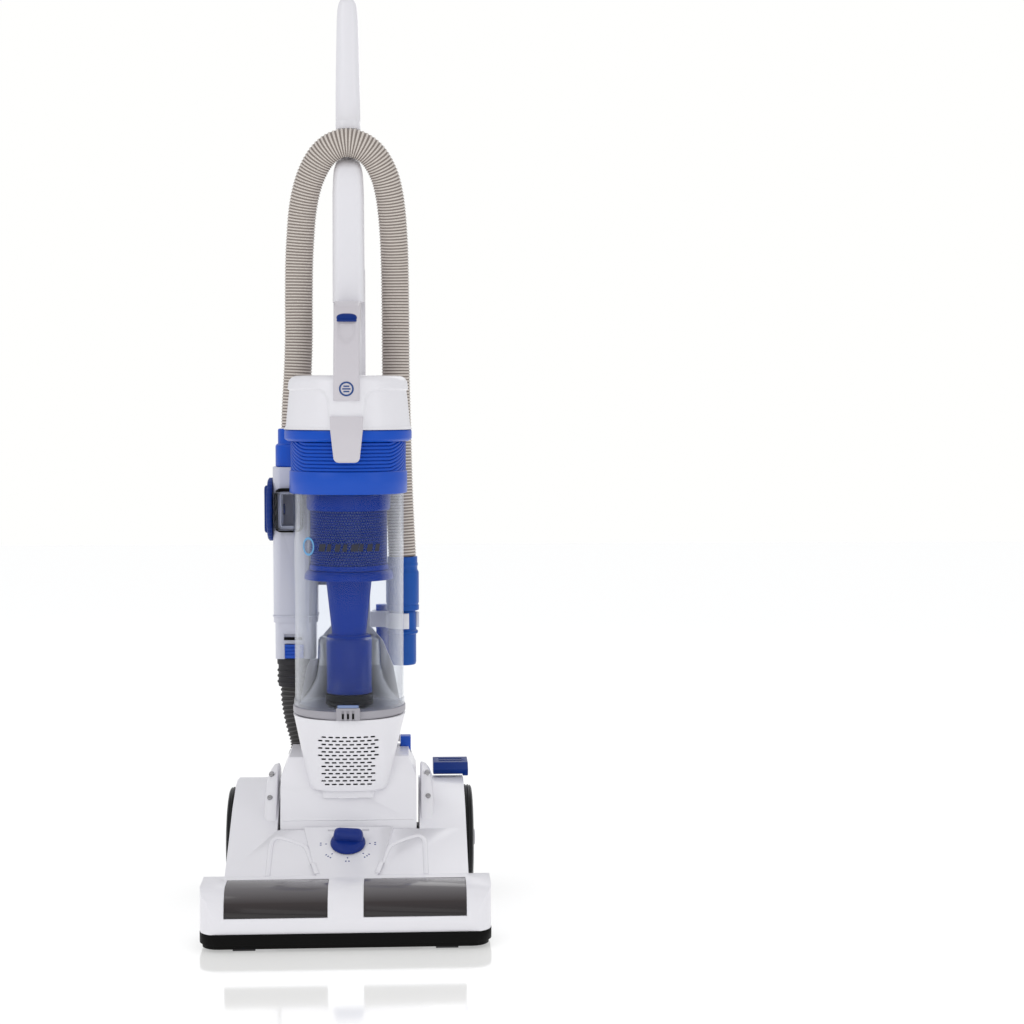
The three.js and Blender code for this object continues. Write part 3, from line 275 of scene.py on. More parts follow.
def skinned(name, rings, closed_ends=True, smooth=True):
    """A piece with a skin over rings of points given in millimetres."""
    return add_piece(name, *skin([[tuple(c * MM for c in point) for point in ring] for ring in rings],
                                 closed_ends), smooth)


def weld(obj, gap, sliver=None, faces_front=False):
    """Joins the points that lie closer than a gap, drops slivers and turns every face outwards."""
    shaped = bmesh.new()
    shaped.from_mesh(obj.data)
    bmesh.ops.remove_doubles(shaped, verts=shaped.verts, dist=gap)
    if sliver:
        bmesh.ops.dissolve_degenerate(shaped, edges=shaped.edges, dist=sliver)
    bmesh.ops.recalc_face_normals(shaped, faces=shaped.faces)
    if faces_front and sum(face.normal.y * face.calc_area() for face in shaped.faces) > 0:
        bmesh.ops.reverse_faces(shaped, faces=shaped.faces)
    shaped.to_mesh(obj.data)
    shaped.free()
    return obj


def thicken(obj, name, wall):
    """Gives a single skin a wall, in millimetres, on its inner side."""
    shell = obj.modifiers.new(name, "SOLIDIFY")
    shell.thickness = wall * MM
    shell.offset = -1


RINGS_PER_RIB = 4


def ribbed_hose(name, points, radius, pitch, depth, sides=36):
    """A hose whose wall rises and falls once in each pitch."""
    centres, total = smooth_route(points, pitch * MM / RINGS_PER_RIB)
    across = Vector((0, 1, 0))
    rings = []
    for i, centre in enumerate(centres):
        ahead = centres[min(i + 1, len(centres) - 1)] - centres[max(i - 1, 0)]
        ahead.normalize()
        across = (across - ahead * across.dot(ahead)).normalized()
        side = ahead.cross(across)
        r = (radius - depth * (0.5 - 0.5 * cos(2 * pi * i / RINGS_PER_RIB))) * MM
        ring = [centre + (across * cos(2 * pi * j / sides) + side * sin(2 * pi * j / sides)) * r
                for j in range(sides)]
        rings.append(ring)
    verts, faces = skin(rings)
    return add_piece(name, verts, faces), centres, total


def shader_group(name, inputs, outputs):
    """An empty node group with a colour input, the number inputs and the outputs named."""
    group = bpy.data.node_groups.new(name, "ShaderNodeTree")
    shade = group.interface.new_socket("Color", in_out="INPUT", socket_type="NodeSocketColor")
    shade.default_value = (0.8, 0.8, 0.8, 1)
    for socket, value in inputs.items():
        group.interface.new_socket(socket, in_out="INPUT", socket_type="NodeSocketFloat").default_value = value
    for socket, kind in outputs.items():
        group.interface.new_socket(socket, in_out="OUTPUT", socket_type="NodeSocket" + kind)
    return group, group.nodes.new("NodeGroupInput"), group.nodes.new("NodeGroupOutput")


def grain_group():
    """Fine moulded grain: a height for bump, a roughness and a faint change of shade."""
    tree, given, put = shader_group("moulded_grain", dict(Scale=900.0, Roughness=0.4, Spread=0.08, Tone=0.03),
                                    dict(Color="Color", Roughness="Float", Height="Float"))
    where, fine = shader_node(tree, "TexCoord"), shader_node(tree, "TexNoise", Detail=3)
    broad, centred = shader_node(tree, "TexNoise", Scale=11, Detail=5), scaled_sum(tree, 1.0, -0.5)
    rough, tone, tint = scaled_sum(tree), scaled_sum(tree, added=1.0), shader_node(tree, "VectorMath")
    tint.operation = "SCALE"
    wire(tree, (where, "Object", fine, "Vector"), (where, "Object", broad, "Vector"),
         (given, "Scale", fine, "Scale"), (broad, "Fac", centred, 0), (centred, 0, rough, 0),
         (given, "Spread", rough, 1), (given, "Roughness", rough, 2), (centred, 0, tone, 0),
         (given, "Tone", tone, 1), (given, "Color", tint, 0), (tone, 0, tint, "Scale"), (tint, 0, put, "Color"),
         (rough, 0, put, "Roughness"), (fine, "Fac", put, "Height"))
    return tree


def wear_group():
    """Handled edges: exposed edges go a little paler, hollows gather a little grey dust."""
    tree, given, put = shader_group("edge_wear", dict(Wear=0.12, Dust=0.12), dict(Color="Color"))
    shape = shader_node(tree, "NewGeometry")
    edge = shader_node(tree, "MapRange", From_Min=0.52, From_Max=0.62)
    hollow = shader_node(tree, "MapRange", From_Min=0.49, From_Max=0.40)
    worn, dusty = shader_node(tree, "Mix"), shader_node(tree, "Mix")
    for mask, level, mix, colour in ((edge, "Wear", worn, (0.85, 0.85, 0.84, 1)),
                                     (hollow, "Dust", dusty, (0.30, 0.29, 0.27, 1))):
        mix.data_type = "RGBA"
        mix.inputs[7].default_value = colour
        amount = shader_node(tree, "Math")
        amount.operation = "MULTIPLY"
        wire(tree, (shape, "Pointiness", mask, "Value"), (mask, 0, amount, 0), (given, level, amount, 1),
             (amount, 0, mix, 0))
    wire(tree, (given, "Color", worn, 6), (worn, 2, dusty, 6), (dusty, 2, put, "Color"))
    return tree


GRAIN, WEAR = grain_group(), wear_group()


def srgb(r, g, b):
    """A shade as a screen shows it, turned into linear light."""
    def linear(c):
        c /= 255
        return c / 12.92 if c <= 0.04045 else ((c + 0.055) / 1.055) ** 2.4
    return (linear(r), linear(g), linear(b), 1)


def moulded(name, colour, roughness=0.35, scale=1400, bump=0.00003, wear=0.10, dust=0.10, tone=0.04,
            spread=0.10, **fixed):
    """A moulded plastic or rubber: grain, worn edges, dust in the hollows and its own fixed shader values."""
    material = bpy.data.materials.new(name)
    material.use_nodes = True
    tree = material.node_tree
    shader = tree.nodes["Principled BSDF"]
    grain, worn = tree.nodes.new("ShaderNodeGroup"), tree.nodes.new("ShaderNodeGroup")
    grain.node_tree, worn.node_tree = GRAIN, WEAR
    for node, values in ((grain, dict(Color=colour, Scale=scale, Roughness=roughness, Spread=spread,
                                      Tone=tone)), (worn, dict(Wear=wear, Dust=dust)), (shader, fixed)):
        for socket, value in values.items():
            node.inputs[socket.replace("_", " ")].default_value = value
    lift = shader_node(tree, "Bump", Distance=bump, Strength=0.6)
    wire(tree, (grain, "Color", worn, "Color"), (worn, "Color", shader, "Base Color"),
         (grain, "Roughness", shader, "Roughness"), (grain, "Height", lift, "Height"),
         (lift, "Normal", shader, "Normal"))
    return material


def finish_piece(obj, material, body, slot, *nodes):
    """Gives a piece its material and its body and hides the CAD nodes that it stands for; the slot is not used.
    """
    obj.data.materials.clear()
    obj.data.materials.append(material)
    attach(obj, body)
    if nodes:
        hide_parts(*nodes)
    return obj


def paint_valley_shade(hose, material, sides=36):
    """Gives the bottom of every rib its own, darker material: painted shade in the valleys between the ribs."""
    hose.data.materials.append(material)
    for face in hose.data.polygons:
        if face.index // sides % RINGS_PER_RIB in (1, 2):
            face.material_index = 1


hose_vinyl = moulded("hose_vinyl", srgb(212, 203, 195), 0.5, 600, 0.00005, wear=0.2, dust=0.2, Coat_Weight=0.08)
# Painted shade: the valley material is the vinyl drawn darker, for the shade that falls between the ribs.
hose_painted_valley_shade = moulded("hose_painted_valley_shade", srgb(134, 123, 116), 0.6, 600, 0.00005, wear=0.0, dust=0.5)
stretch, stretch_path, stretch_length = ribbed_hose("stretch_hose_ribbed", HOSE_ROUTE, HOSE_R - 0.3,
                                                    HOSE_PITCH, 1.5)
finish_piece(stretch, hose_vinyl, "upright", "grey_hose", "stretch_hose")
paint_valley_shade(stretch, hose_painted_valley_shade)


# ---- Lower hose ----
# The charcoal hose between the elbow on the motor housing and the duct: thicker wall, coarser ribs.
# It is short and fixed at both ends, and carries the dust up from the floor head.
LOWER_R, LOWER_PITCH = 20.0, 5.2
LOWER_ROUTE = [(-67, 118, 254.7), (-67, 118, 240), (-63, 118, 215), (-56, 118, 188), (-55, 118, 172.3)]
dark_vinyl = moulded("dark_hose_vinyl", srgb(60, 58, 58), 0.55, 600, 0.00005, wear=0.1, dust=0.1,
                     Specular_IOR_Level=0.3)
lower_hose, _, _ = ribbed_hose("lower_hose_ribbed", LOWER_ROUTE, LOWER_R, LOWER_PITCH, 2.2, 48)
finish_piece(lower_hose, dark_vinyl, "upright", "dark_hose", "lower_hose")
# Painted shade: the darker valley material stands for the shade between the coarser ribs.
dark_painted_valley_shade = moulded("dark_hose_painted_valley_shade", srgb(24, 23, 23), 0.7, 600, 0.00005, wear=0.0, dust=0.3)
paint_valley_shade(lower_hose, dark_painted_valley_shade, 48)


# ---- Moulded shells ----
# Each shell is taken from its frame solid, its facets joined into whole faces and its edges rounded as a
# mould rounds them. Glossy white ABS, blue ABS, charcoal polypropylene and black rubber.
WHITE = dict(roughness=0.30, scale=1500, bump=0.00002, wear=0.0, dust=0.10, tone=0.03, Coat_Weight=0.15,
             Coat_Roughness=0.2)
white = moulded("white_abs", srgb(232, 231, 236), **WHITE)
# Painted shade: the cap's tongue and the carry grip are the same white plastic, drawn darker and slightly
# lavender to paint the shade they sit in.
painted_shade_white = moulded("white_abs_painted_shade", srgb(206, 202, 208), **WHITE)
# Painted shade: the duct is the same white plastic, drawn greyer and bluer to paint the shade it stands in.
duct_painted_shade_white = moulded("duct_abs_painted_shade", srgb(205, 206, 218), **WHITE)
BLUE = dict(roughness=0.34, scale=1400, bump=0.00002, wear=0.03, dust=0.06, Specular_IOR_Level=0.25)
blue = moulded("blue_abs", srgb(2, 76, 188), **BLUE)
deep_blue = moulded("deep_blue_abs", srgb(4, 46, 124), **(BLUE | dict(Specular_IOR_Level=0.12)))
charcoal = moulded("charcoal_polypropylene", srgb(40, 39, 43), 0.55, 1100, 0.00006, wear=0.06, dust=0.15,
                   Specular_IOR_Level=0.3)
rubber = moulded("black_rubber", srgb(11, 10, 10), 0.5, 800, 0.00004, wear=0.0, dust=0.04,
                 Specular_IOR_Level=0.08)
grey = moulded("grey_abs", srgb(163, 161, 168), 0.42, 1300, 0.00003, wear=0.0, dust=0.15)
steel = moulded("plain_steel", srgb(165, 164, 166), 0.34, 2600, 0.00002, wear=0.15, dust=0.15, Metallic=1.0)


def softened(node, material, radius=0.8, segments=2, angle=28):
    """A copy of a frame solid with whole faces and rounded edges, which stands for the node."""
    source = frame["nodes"][node].data
    shaped = bmesh.new()
    shaped.from_mesh(source)
    bmesh.ops.remove_doubles(shaped, verts=shaped.verts, dist=0.00001)
    bmesh.ops.dissolve_limit(shaped, angle_limit=radians(1.0), verts=shaped.verts, edges=shaped.edges)
    mesh = bpy.data.meshes.new(node + "_shell")
    shaped.to_mesh(mesh)
    shaped.free()
    mesh.polygons.foreach_set("use_smooth", [True] * len(mesh.polygons))
    obj = bpy.data.objects.new(mesh.name, mesh)
    scene.collection.objects.link(obj)
    if radius:
        round_edges(obj, radius, segments, angle)
    return stand_in(obj, material, node)


def round_edges(obj, radius, segments=2, angle=28):
    bevel = obj.modifiers.new("rounded_edges", "BEVEL")
    bevel.width = radius * MM
    bevel.segments = segments
    bevel.limit_method = "ANGLE"
    bevel.angle_limit = radians(angle)
    bevel.harden_normals = True
    bevel.miter_outer = "MITER_ARC"


BODY_OF = {node: name for name in frame["bodies"] for node in frame["record"]["behaviour"]["bodies"][name]}
SLOT_OF = {part["node"]: part["material_slot"] for part in frame["record"]["subparts"]}


def stand_in(obj, material, node):
    """Finishes a piece that stands for one frame node, on that node's own body."""
    return finish_piece(obj, material, BODY_OF[node], SLOT_OF[node], node)


def shells(material, radius, *nodes, segments=2, angle=28):
    return [softened(node, material, radius, segments, angle) for node in nodes]


shells(white, 1.2, "nozzle_housing", "tool_clip", segments=3)
shells(duct_painted_shade_white, 1.2, "duct_housing", segments=3)
shells(white, 0.8, "spine", "cord_hook")
shells(blue, 0.8, "hose_latch", "crevice_tool", "power_button")
shells(deep_blue, 1.6, "recline_pedal", segments=3)
shells(rubber, 0.6, "bumper_strip", "port_gasket", "drive_belt")
shells(charcoal, 0.5, "sole_plate", "brush_bearing_left", "brush_bearing_right", "front_carriage")
shells(grey, 1.0, "hose_elbow", "door_latch")
shells(steel, 0.3, "cheek_screw_left", "cheek_screw_right")


# ---- Dust bin ----
# The bin lifts off in one piece. Its tank is clear polycarbonate with a grey dump door beneath; a blue collar
# with finger ribs joins it to the white cap. Everything is turned about the bin's own axis.
def span(node):
    """Lowest and highest corner of a frame node, in millimetres."""
    low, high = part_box(node)
    return [c / MM for c in low], [c / MM for c in high]


tank_low, tank_high = span("bin_cylinder")
BIN_Y = (tank_low[1] + tank_high[1]) / 2
BIN_R = (tank_high[0] - tank_low[0]) / 2
BIN_FLOOR, BIN_TOP = tank_low[2], tank_high[2]
RING_R = span("top_ring")[1][0]
RING_FLOOR, RING_TOP = span("top_ring")[0][2], span("top_ring")[1][2]
CAP_TOP = span("bin_cap")[1][2]


def soften_profile(points, radius, steps=3):
    """Rounds the corners of an open outline of (r, z) points."""
    rounded = [points[0]]
    for before, corner, after in zip(points, points[1:], points[2:]):
        a, b, c = Vector(before), Vector(corner), Vector(after)
        reach = min(radius, (a - b).length * 0.45, (c - b).length * 0.45)
        start, end = b + (a - b).normalized() * reach, b + (c - b).normalized() * reach
        for i in range(steps + 1):
            t = i / steps
            point = start * (1 - t) ** 2 + b * 2 * t * (1 - t) + end * t * t
            rounded.append((point.x, point.y))
    rounded.append(points[-1])
    return rounded


def turned(name, profile, at=(0, 0, 0), axis="z", sides=96, radius=0.6, closed=True):
    """A profile of (radius, height) points turned about an axis through a place, in millimetres."""
    outline = soften_profile(list(profile) + ([profile[0]] if closed else []), radius)
    if closed:
        outline = outline[:-1]
    rings = []
    for r, h in outline:
        ring = []
        for i in range(sides):
            a = 2 * pi * i / sides
            u, v = max(r, 0.001) * cos(a), max(r, 0.001) * sin(a)
            point = {"z": (u, v, h), "x": (h, u, v), "y": (v, h, u)}[axis]
            ring.append(tuple(p + q for p, q in zip(point, at)))
        rings.append(ring)
    if closed:
        rings.append(rings[0])
    return weld(skinned(name, rings, closed_ends=not closed), 0.000004, 0.000001)


def grid_piece(name, across, along, place, closed=False):
    """A skin over a grid: place(i, j) gives each point in millimetres."""
    verts = [tuple(c * MM for c in place(i, j)) for j in range(along) for i in range(across)]
    faces = []
    for j in range(along - 1):
        for i in range(across if closed else across - 1):
            n = (i + 1) % across
            faces.append((j * across + i, j * across + n, (j + 1) * across + n, (j + 1) * across + i))
    return add_piece(name, verts, faces)


def ease(t):
    t = min(1.0, max(0.0, t))
    return t * t * (3 - 2 * t)


def follow(stations, at):
    """The value at a height, read off (height, value) stations, straight between them."""
    for (h0, v0), (h1, v1) in zip(stations, stations[1:]):
        if at <= h1:
            return v0 + (v1 - v0) * max(0.0, (at - h0) / (h1 - h0))
    return stations[-1][1]


BIN_AT = (0, BIN_Y, 0)


def clear_plastic(name, tint, roughness=0.06, least=0.01, most=0.62):
    """Clear moulded polycarbonate: a thin tinted wall that shows mostly what is behind it, with a gloss."""
    material = bpy.data.materials.new(name)
    material.use_nodes = True
    tree = material.node_tree
    tree.nodes.clear()
    out, mix, where = (shader_node(tree, kind) for kind in ("OutputMaterial", "MixShader", "TexCoord"))
    through = shader_node(tree, "BsdfTransparent", Color=tint)
    gloss = shader_node(tree, "BsdfGlossy", Color=(0.96, 0.97, 1.0, 1), Roughness=roughness)
    edge = shader_node(tree, "LayerWeight", Blend=0.30)
    spread = shader_node(tree, "MapRange", From_Min=0.12, From_Max=0.95, To_Min=least, To_Max=most)
    haze, lift = shader_node(tree, "TexNoise", Scale=9), shader_node(tree, "Bump", Distance=0.00004,
                                                                     Strength=0.05)
    wire(tree, (where, "Object", haze, "Vector"), (haze, "Fac", lift, "Height"),
         (lift, "Normal", gloss, "Normal"), (edge, "Facing", spread, "Value"), (spread, 0, mix, 0),
         (through, 0, mix, 1), (gloss, 0, mix, 2), (mix, 0, out, "Surface"))
    return material


clear = clear_plastic("clear_polycarbonate", (0.955, 0.965, 0.985, 1))
TANK_WALL = 1.6
tank = turned("bin_tank", [
    (BIN_R - 2.4, BIN_FLOOR), (BIN_R, BIN_FLOOR), (BIN_R, BIN_FLOOR + 7), (BIN_R - 1.2, BIN_FLOOR + 9),
    (BIN_R - 0.2, BIN_TOP - 6), (BIN_R - 0.2, BIN_TOP), (BIN_R - 0.2 - TANK_WALL, BIN_TOP),
    (BIN_R - 1.2 - TANK_WALL, BIN_FLOOR + 9)], BIN_AT, sides=128, radius=1.0)
stand_in(tank, clear, "bin_cylinder")
shells(clear, 1.5, "bin_inlet", segments=3)

# A plain mark printed on the front of the tank: a pale ring and a row of slanted bars.
def ring_tiles(count, outer, inner, x, z, squash=1.0):
    """Tiles of (x, z) points that together make a printed ring round a place."""
    for k in range(count):
        a, b = 2 * pi * k / count, 2 * pi * (k + 1) / count
        yield [(x + r * squash * cos(t), z + r * sin(t))
               for r, t in ((outer, a), (outer, b), (inner, b), (inner, a))]


def tank_print(name, outline, material):
    """A shape of (x, z) points laid on the tank's front, a hair proud of it."""
    rings = [[(x, BIN_Y - sqrt((BIN_R + lift) ** 2 - x * x), z) for x, z in outline] for lift in (-0.6, 0.25)]
    return finish_piece(skinned(name, rings, smooth=False), material, "bin", "clear_plastic")


print_dark = moulded("print_slate", srgb(26, 30, 48), 0.4, 1500, 0.00001, wear=0.0, dust=0.0)
print_pale = moulded("print_sky", srgb(96, 158, 206), 0.4, 1500, 0.00001, wear=0.0, dust=0.0)
PRINT_Z = 437.0
for k, tile in enumerate(ring_tiles(24, 11, 8.4, -46, PRINT_Z, 0.62)):
    tank_print("print_ring_%d" % k, tile, print_pale)
for k, wide in enumerate((7.5, 5, 6.2, 5, 9, 5, 6.2, 5)):
    x = -34 + 9.4 * k
    tank_print("print_bar_%d" % k, [(x, PRINT_Z - 5), (x + wide, PRINT_Z - 5), (x + wide + 1.4, PRINT_Z + 3.6),
                                    (x + 1.4, PRINT_Z + 3.6)], print_dark)

# The dump door: a shallow grey disc with a rim, its latch rib-gripped at the front.
door_low, door_high = span("bin_door")
door = turned("dump_door", [
    (0, door_low[2] + 1), (BIN_R - 9, door_low[2] + 1), (BIN_R - 7, door_low[2]), (BIN_R - 1, door_low[2]),
    (BIN_R + 1, door_low[2] + 2.5), (BIN_R + 1, door_high[2]), (BIN_R - 4, door_high[2]),
    (BIN_R - 5, door_high[2] - 3), (0, door_high[2] - 3)], BIN_AT, radius=0.8, closed=False)
stand_in(door, grey, "bin_door")

# The latch's catch: a small clear-blue staple over the door's rim, with three dark grip slits below it.
catch_blue = moulded("catch_blue", srgb(120, 140, 184), 0.2, 1400, 0.00001, wear=0.0, dust=0.0, Coat_Weight=0.4)
for k, (x0, x1, z0, z1) in enumerate(((-12.5, -9.5, 240, 250), (9.5, 12.5, 240, 250),
                                      (-12.5, 12.5, 248, 251.5))):
    staple = skinned("latch_catch_%d" % k,
                     [[(x0, -25.4, z), (x1, -25.4, z), (x1, -22.2, z), (x0, -22.2, z)] for z in (z0, z1)])
    round_edges(staple, 0.8, 2)
    finish_piece(staple, catch_blue, "bin", "grey_plastic")
for k in range(3):
    x = -6 + 6 * k
    rings = [[(x - 1, -26.45, z), (x + 1, -26.45, z), (x + 1, -24.6, z), (x - 1, -24.6, z)]
             for z in (235.4, 241.5)]
    finish_piece(skinned("latch_slit_%d" % k, rings, smooth=False), rubber, "door_latch", "grey_plastic")

# The cyclone: a blue cone with a flared skirt over a plain cup, a rubber seal at its foot, and the shroud
# above it, which is a perforated sleeve under a plain band.
cone_high = span("cyclone_cone")[1]
SKIRT_R = cone_high[0]
cyclone_blue = moulded("cyclone_blue_abs", srgb(0, 52, 150),
                       **(BLUE | dict(Specular_IOR_Level=0.12, bump=0.000002)))
cone = turned("cyclone_cone_turned", [
    (25, 257), (27.5, 257), (27.5, 262), (27.0, 264), (27.5, 323), (25, 327), (20.5, 328), (27.5, 394),
    (30, 397), (SKIRT_R - 4, 399), (SKIRT_R, 394.5), (SKIRT_R, 397), (SKIRT_R - 1, 402),
    (SKIRT_R - 5, cone_high[2]), (46, cone_high[2]), (24, cone_high[2]), (18, 328),
    (25, 320)], BIN_AT, radius=1.2)
stand_in(cone, cyclone_blue, "cyclone_cone")
seal = turned("cone_foot_seal", [
    (19, BIN_FLOOR), (28.5, BIN_FLOOR), (28.5, 248), (27.3, 249), (28.5, 250), (28.5, 255), (27, 256.7),
    (19, 256.7)], BIN_AT)
stand_in(seal, rubber, "cone_seal")

bell = turned("dirt_shield", [(28.5, 325.5), (34, 325.5), (37, 322), (38.2, 292), (41, 276), (48, 262),
                              (60, 246), (60, 244.6), (47, 260.5), (39.6, 275.5), (36.8, 292), (35.6, 321),
                             (33.4, 324.1), (28.5, 324.1)], BIN_AT, radius=1.6)
finish_piece(bell, clear, "bin", "clear_plastic")

SHROUD_R, HOLE_PITCH = 46.0, 3.3


def perforated_sleeve(name, radius, low, high, pitch, open_share=0.56):
    """A sleeve of square cells, each with an eight-sided hole, staggered row by row."""
    columns = round(2 * pi * radius / pitch)
    rows = round((high - low) / pitch)
    verts, faces = [], []
    hole_r = pitch * open_share / 2
    for row in range(rows):
        z = low + (row + 0.5) * pitch
        for column in range(columns):
            middle = column + 0.5 * (row % 2)
            base = len(verts)
            for reach, flat in ((pitch / 2, True), (hole_r, False)):
                for k in range(8):
                    a = pi / 4 * k + pi / 4
                    u, v = cos(a), sin(a)
                    if flat:
                        grow = 1 / max(abs(u), abs(v))
                        u, v = u * grow, v * grow
                    turn = (middle * pitch + u * reach) / (columns * pitch) * 2 * pi
                    verts.append((radius * cos(turn) * MM, (radius * sin(turn) + BIN_Y) * MM,
                                  (z + v * reach) * MM))
            for k in range(8):
                n = (k + 1) % 8
                faces.append((base + k, base + n, base + 8 + n, base + 8 + k))
    obj = weld(add_piece(name, verts, faces), 0.00002)
    thicken(obj, "sleeve_wall", 0.8)
    return obj


mesh_blue = moulded("shroud_blue", srgb(0, 44, 128), **(BLUE | dict(Specular_IOR_Level=0.12, bump=0.000002)))
sleeve = perforated_sleeve("shroud_mesh", SHROUD_R, 412, 478, HOLE_PITCH)
stand_in(sleeve, mesh_blue, "shroud")
core = turned("shroud_core", [(38, 406), (40, 406), (40, 496), (38, 496)], BIN_AT)
finish_piece(core, moulded("shroud_inner", srgb(150, 172, 212), 0.5, 1200), "bin", "blue_plastic")
for name, profile in (
        ("shroud_foot", [(43, cone_high[2] + 0.3), (47.5, cone_high[2] + 0.3), (47, 412.5), (43, 412.5)]),
        ("shroud_band", [(44, 477.5), (48.5, 477.5), (50, 480), (50.5, 497), (44, 497)])):
    finish_piece(turned(name, profile, BIN_AT), cyclone_blue, "bin", "blue_plastic")

# The blue collar, its ribbed band and the top ring, all one colour of ABS but separate mouldings.
collar_low, collar_high = span("bin_collar")
COLLAR_R = collar_high[0]
COLLAR_TOP = collar_low[2] + 27
RIB_PITCH = (collar_high[2] - COLLAR_TOP) / 8
COLLAR_PROFILE = [(BIN_R - 6, collar_low[2]), (COLLAR_R - 1, collar_low[2]), (COLLAR_R, collar_low[2] + 1.2),
                  (COLLAR_R, COLLAR_TOP - 1.4), (COLLAR_R - 0.6, COLLAR_TOP - 0.3),
                  (COLLAR_R - 3.4, COLLAR_TOP)]
BAND_STEPS, COLLAR_SIDES = 96, 240


def collar_point(i, j):
    """Plain below, then finger ribs that run level across the front and sweep up at the sides."""
    a = 2 * pi * i / COLLAR_SIDES
    if j < len(COLLAR_PROFILE):
        r, z = COLLAR_PROFILE[j]
    elif j < len(COLLAR_PROFILE) + BAND_STEPS:
        z = COLLAR_TOP + (collar_high[2] - COLLAR_TOP) * (j - len(COLLAR_PROFILE)) / (BAND_STEPS - 1)
        side = degrees(asin(min(1, abs(cos(a)))))
        sweep = 22 * max(0, (side - 46) / 44) ** 1.4
        phase = ((z - COLLAR_TOP - sweep) / RIB_PITCH) % 1.0
        rib = ease(min(phase, 1 - phase) * 4.2)
        r = COLLAR_R - 4.1 + 2.6 * rib
    else:
        r, z = BIN_R - 6, collar_high[2]
    return r * cos(a), BIN_Y + r * sin(a), z


collar = grid_piece("bin_collar_ribbed", COLLAR_SIDES, len(COLLAR_PROFILE) + BAND_STEPS + 1, collar_point,
                    closed=True)
stand_in(collar, blue, "bin_collar")
rim = [(BIN_R - 6, RING_FLOOR), (RING_R - 4, RING_FLOOR), (RING_R, RING_FLOOR + 3), (RING_R, RING_TOP - 2),
       (RING_R - 0.6, RING_TOP), (BIN_R - 6, RING_TOP)]
stand_in(turned("top_ring_turned", rim, BIN_AT, sides=128, radius=1.2), blue, "top_ring")


# ---- Bin cap ----
# The white cap of the bin. A raised T of smooth plastic runs round its shoulder and down a tongue that hangs
# over the blue ring; the walls either side of the tongue are sunk panels with a soft lip.
CAP_BASE = RING_TOP + 0.3
CAP_R = span("bin_cap")[1][0]
CAP_WALL = [(CAP_BASE, CAP_R), (CAP_BASE + 3, CAP_R - 0.2), (610, 73.6), (628, 71.2), (CAP_TOP, 70.2)]
CAP_CORNER = 9.0
CAP_SIDES, CAP_ROWS, CORNER_ROWS = 240, 66, 9
CAP_CROWN = (44, 24, 10, 0.01)
TEE_HALF, TEE_DROP, TEE_CORNER, PANEL_SINK = 19.0, 15.5, 13.0, 2.4


def cap_point(i, j):
    """Rows of the wall, the rounded shoulder, then the flat crown; the panels beside the T are sunk."""
    a = 2 * pi * i / CAP_SIDES - pi / 2
    crown_row = j - CAP_ROWS - CORNER_ROWS
    if j < CAP_ROWS:
        z = CAP_BASE + (CAP_TOP - CAP_CORNER - CAP_BASE) * j / (CAP_ROWS - 1)
        r = follow(CAP_WALL, z)
    elif crown_row < 0:
        turn = (j - CAP_ROWS + 1) / CORNER_ROWS * pi / 2
        z = CAP_TOP - CAP_CORNER + CAP_CORNER * sin(min(turn, pi / 2))
        r = follow(CAP_WALL, z) - CAP_CORNER * (1 - cos(min(turn, pi / 2)))
    else:
        r, z = CAP_CROWN[crown_row], CAP_TOP
    below = CAP_TOP - TEE_DROP - z
    off = below
    if sin(a) < 0:
        beside = abs(r * cos(a)) - TEE_HALF - 3 * max(0, z - 590) / 30
        rounded = beside < TEE_CORNER and below < TEE_CORNER
        off = TEE_CORNER - hypot(TEE_CORNER - beside, TEE_CORNER - below) if rounded else min(beside, below)
    r -= PANEL_SINK * ease(off / PANEL_SINK) * ease((z - CAP_BASE - 1.0) / 6 + 0.35)
    return r * cos(a), BIN_Y + r * sin(a), z


cap = grid_piece("bin_cap_shell", CAP_SIDES, CAP_ROWS + CORNER_ROWS + len(CAP_CROWN), cap_point, closed=True)
stand_in(cap, white, "bin_cap")


def slab(half, front, back, corner, bow=0.0, steps=5):
    """Outline of a rounded slab from above, (x, y) points; bow carries the middle of its front face forward."""
    points = []
    for cx, cy, start in ((half - corner, front + corner, -90), (half - corner, back - corner, 0),
                          (corner - half, back - corner, 90), (corner - half, front + corner, 180)):
        for i in range(steps + 1):
            a = radians(start + 90 * i / steps)
            points.append((cx + corner * cos(a), cy + corner * sin(a)))
    middle = (front + back) / 2
    return [(x, y - bow * (1 - (x / half) ** 2) if y < middle else y) for x, y in points]


def loft(name, sections, material, body, slot, *nodes, smooth_angle=40):
    """A body through (height, outline) sections, ends closed."""
    obj = skinned(name, [[(x, y, z) for x, y in outline] for z, outline in sections])
    mesh = obj.data
    hard = cos(radians(smooth_angle))
    shaped = bmesh.new()
    shaped.from_mesh(mesh)
    for edge in shaped.edges:
        if len(edge.link_faces) == 2:
            a, b = edge.link_faces
            edge.smooth = a.normal.dot(b.normal) > hard
    shaped.to_mesh(mesh)
    shaped.free()
    return finish_piece(obj, material, body, slot, *nodes)


TONGUE = [(536.3, 9.5, 0.8), (537.0, 12.2, 1.6), (538.5, 14.0, 2.2), (541, 15.2, 2.5), (546, 15.8, 2.5),
          (560, 17.4, 2.5), (574, 18.9, 2.5), (590, 19.6, 2.5)]
tongue_front = BIN_Y - CAP_R - 3.4
sections = []
for z, half, corner in TONGUE:
    lean = 3.3 * ease((z - 574) / 18)
    thick = 4.2 if z < 575 else 7
    lift = 2.0 * (1 - ease((z - 536) / 4))
    sections.append((z, slab(half, tongue_front + lean + lift, tongue_front + lean + thick,
                             min(corner, thick / 2 - 0.1), 1.3, 7)))
loft("cap_tongue", sections, painted_shade_white, "bin", "white_plastic")


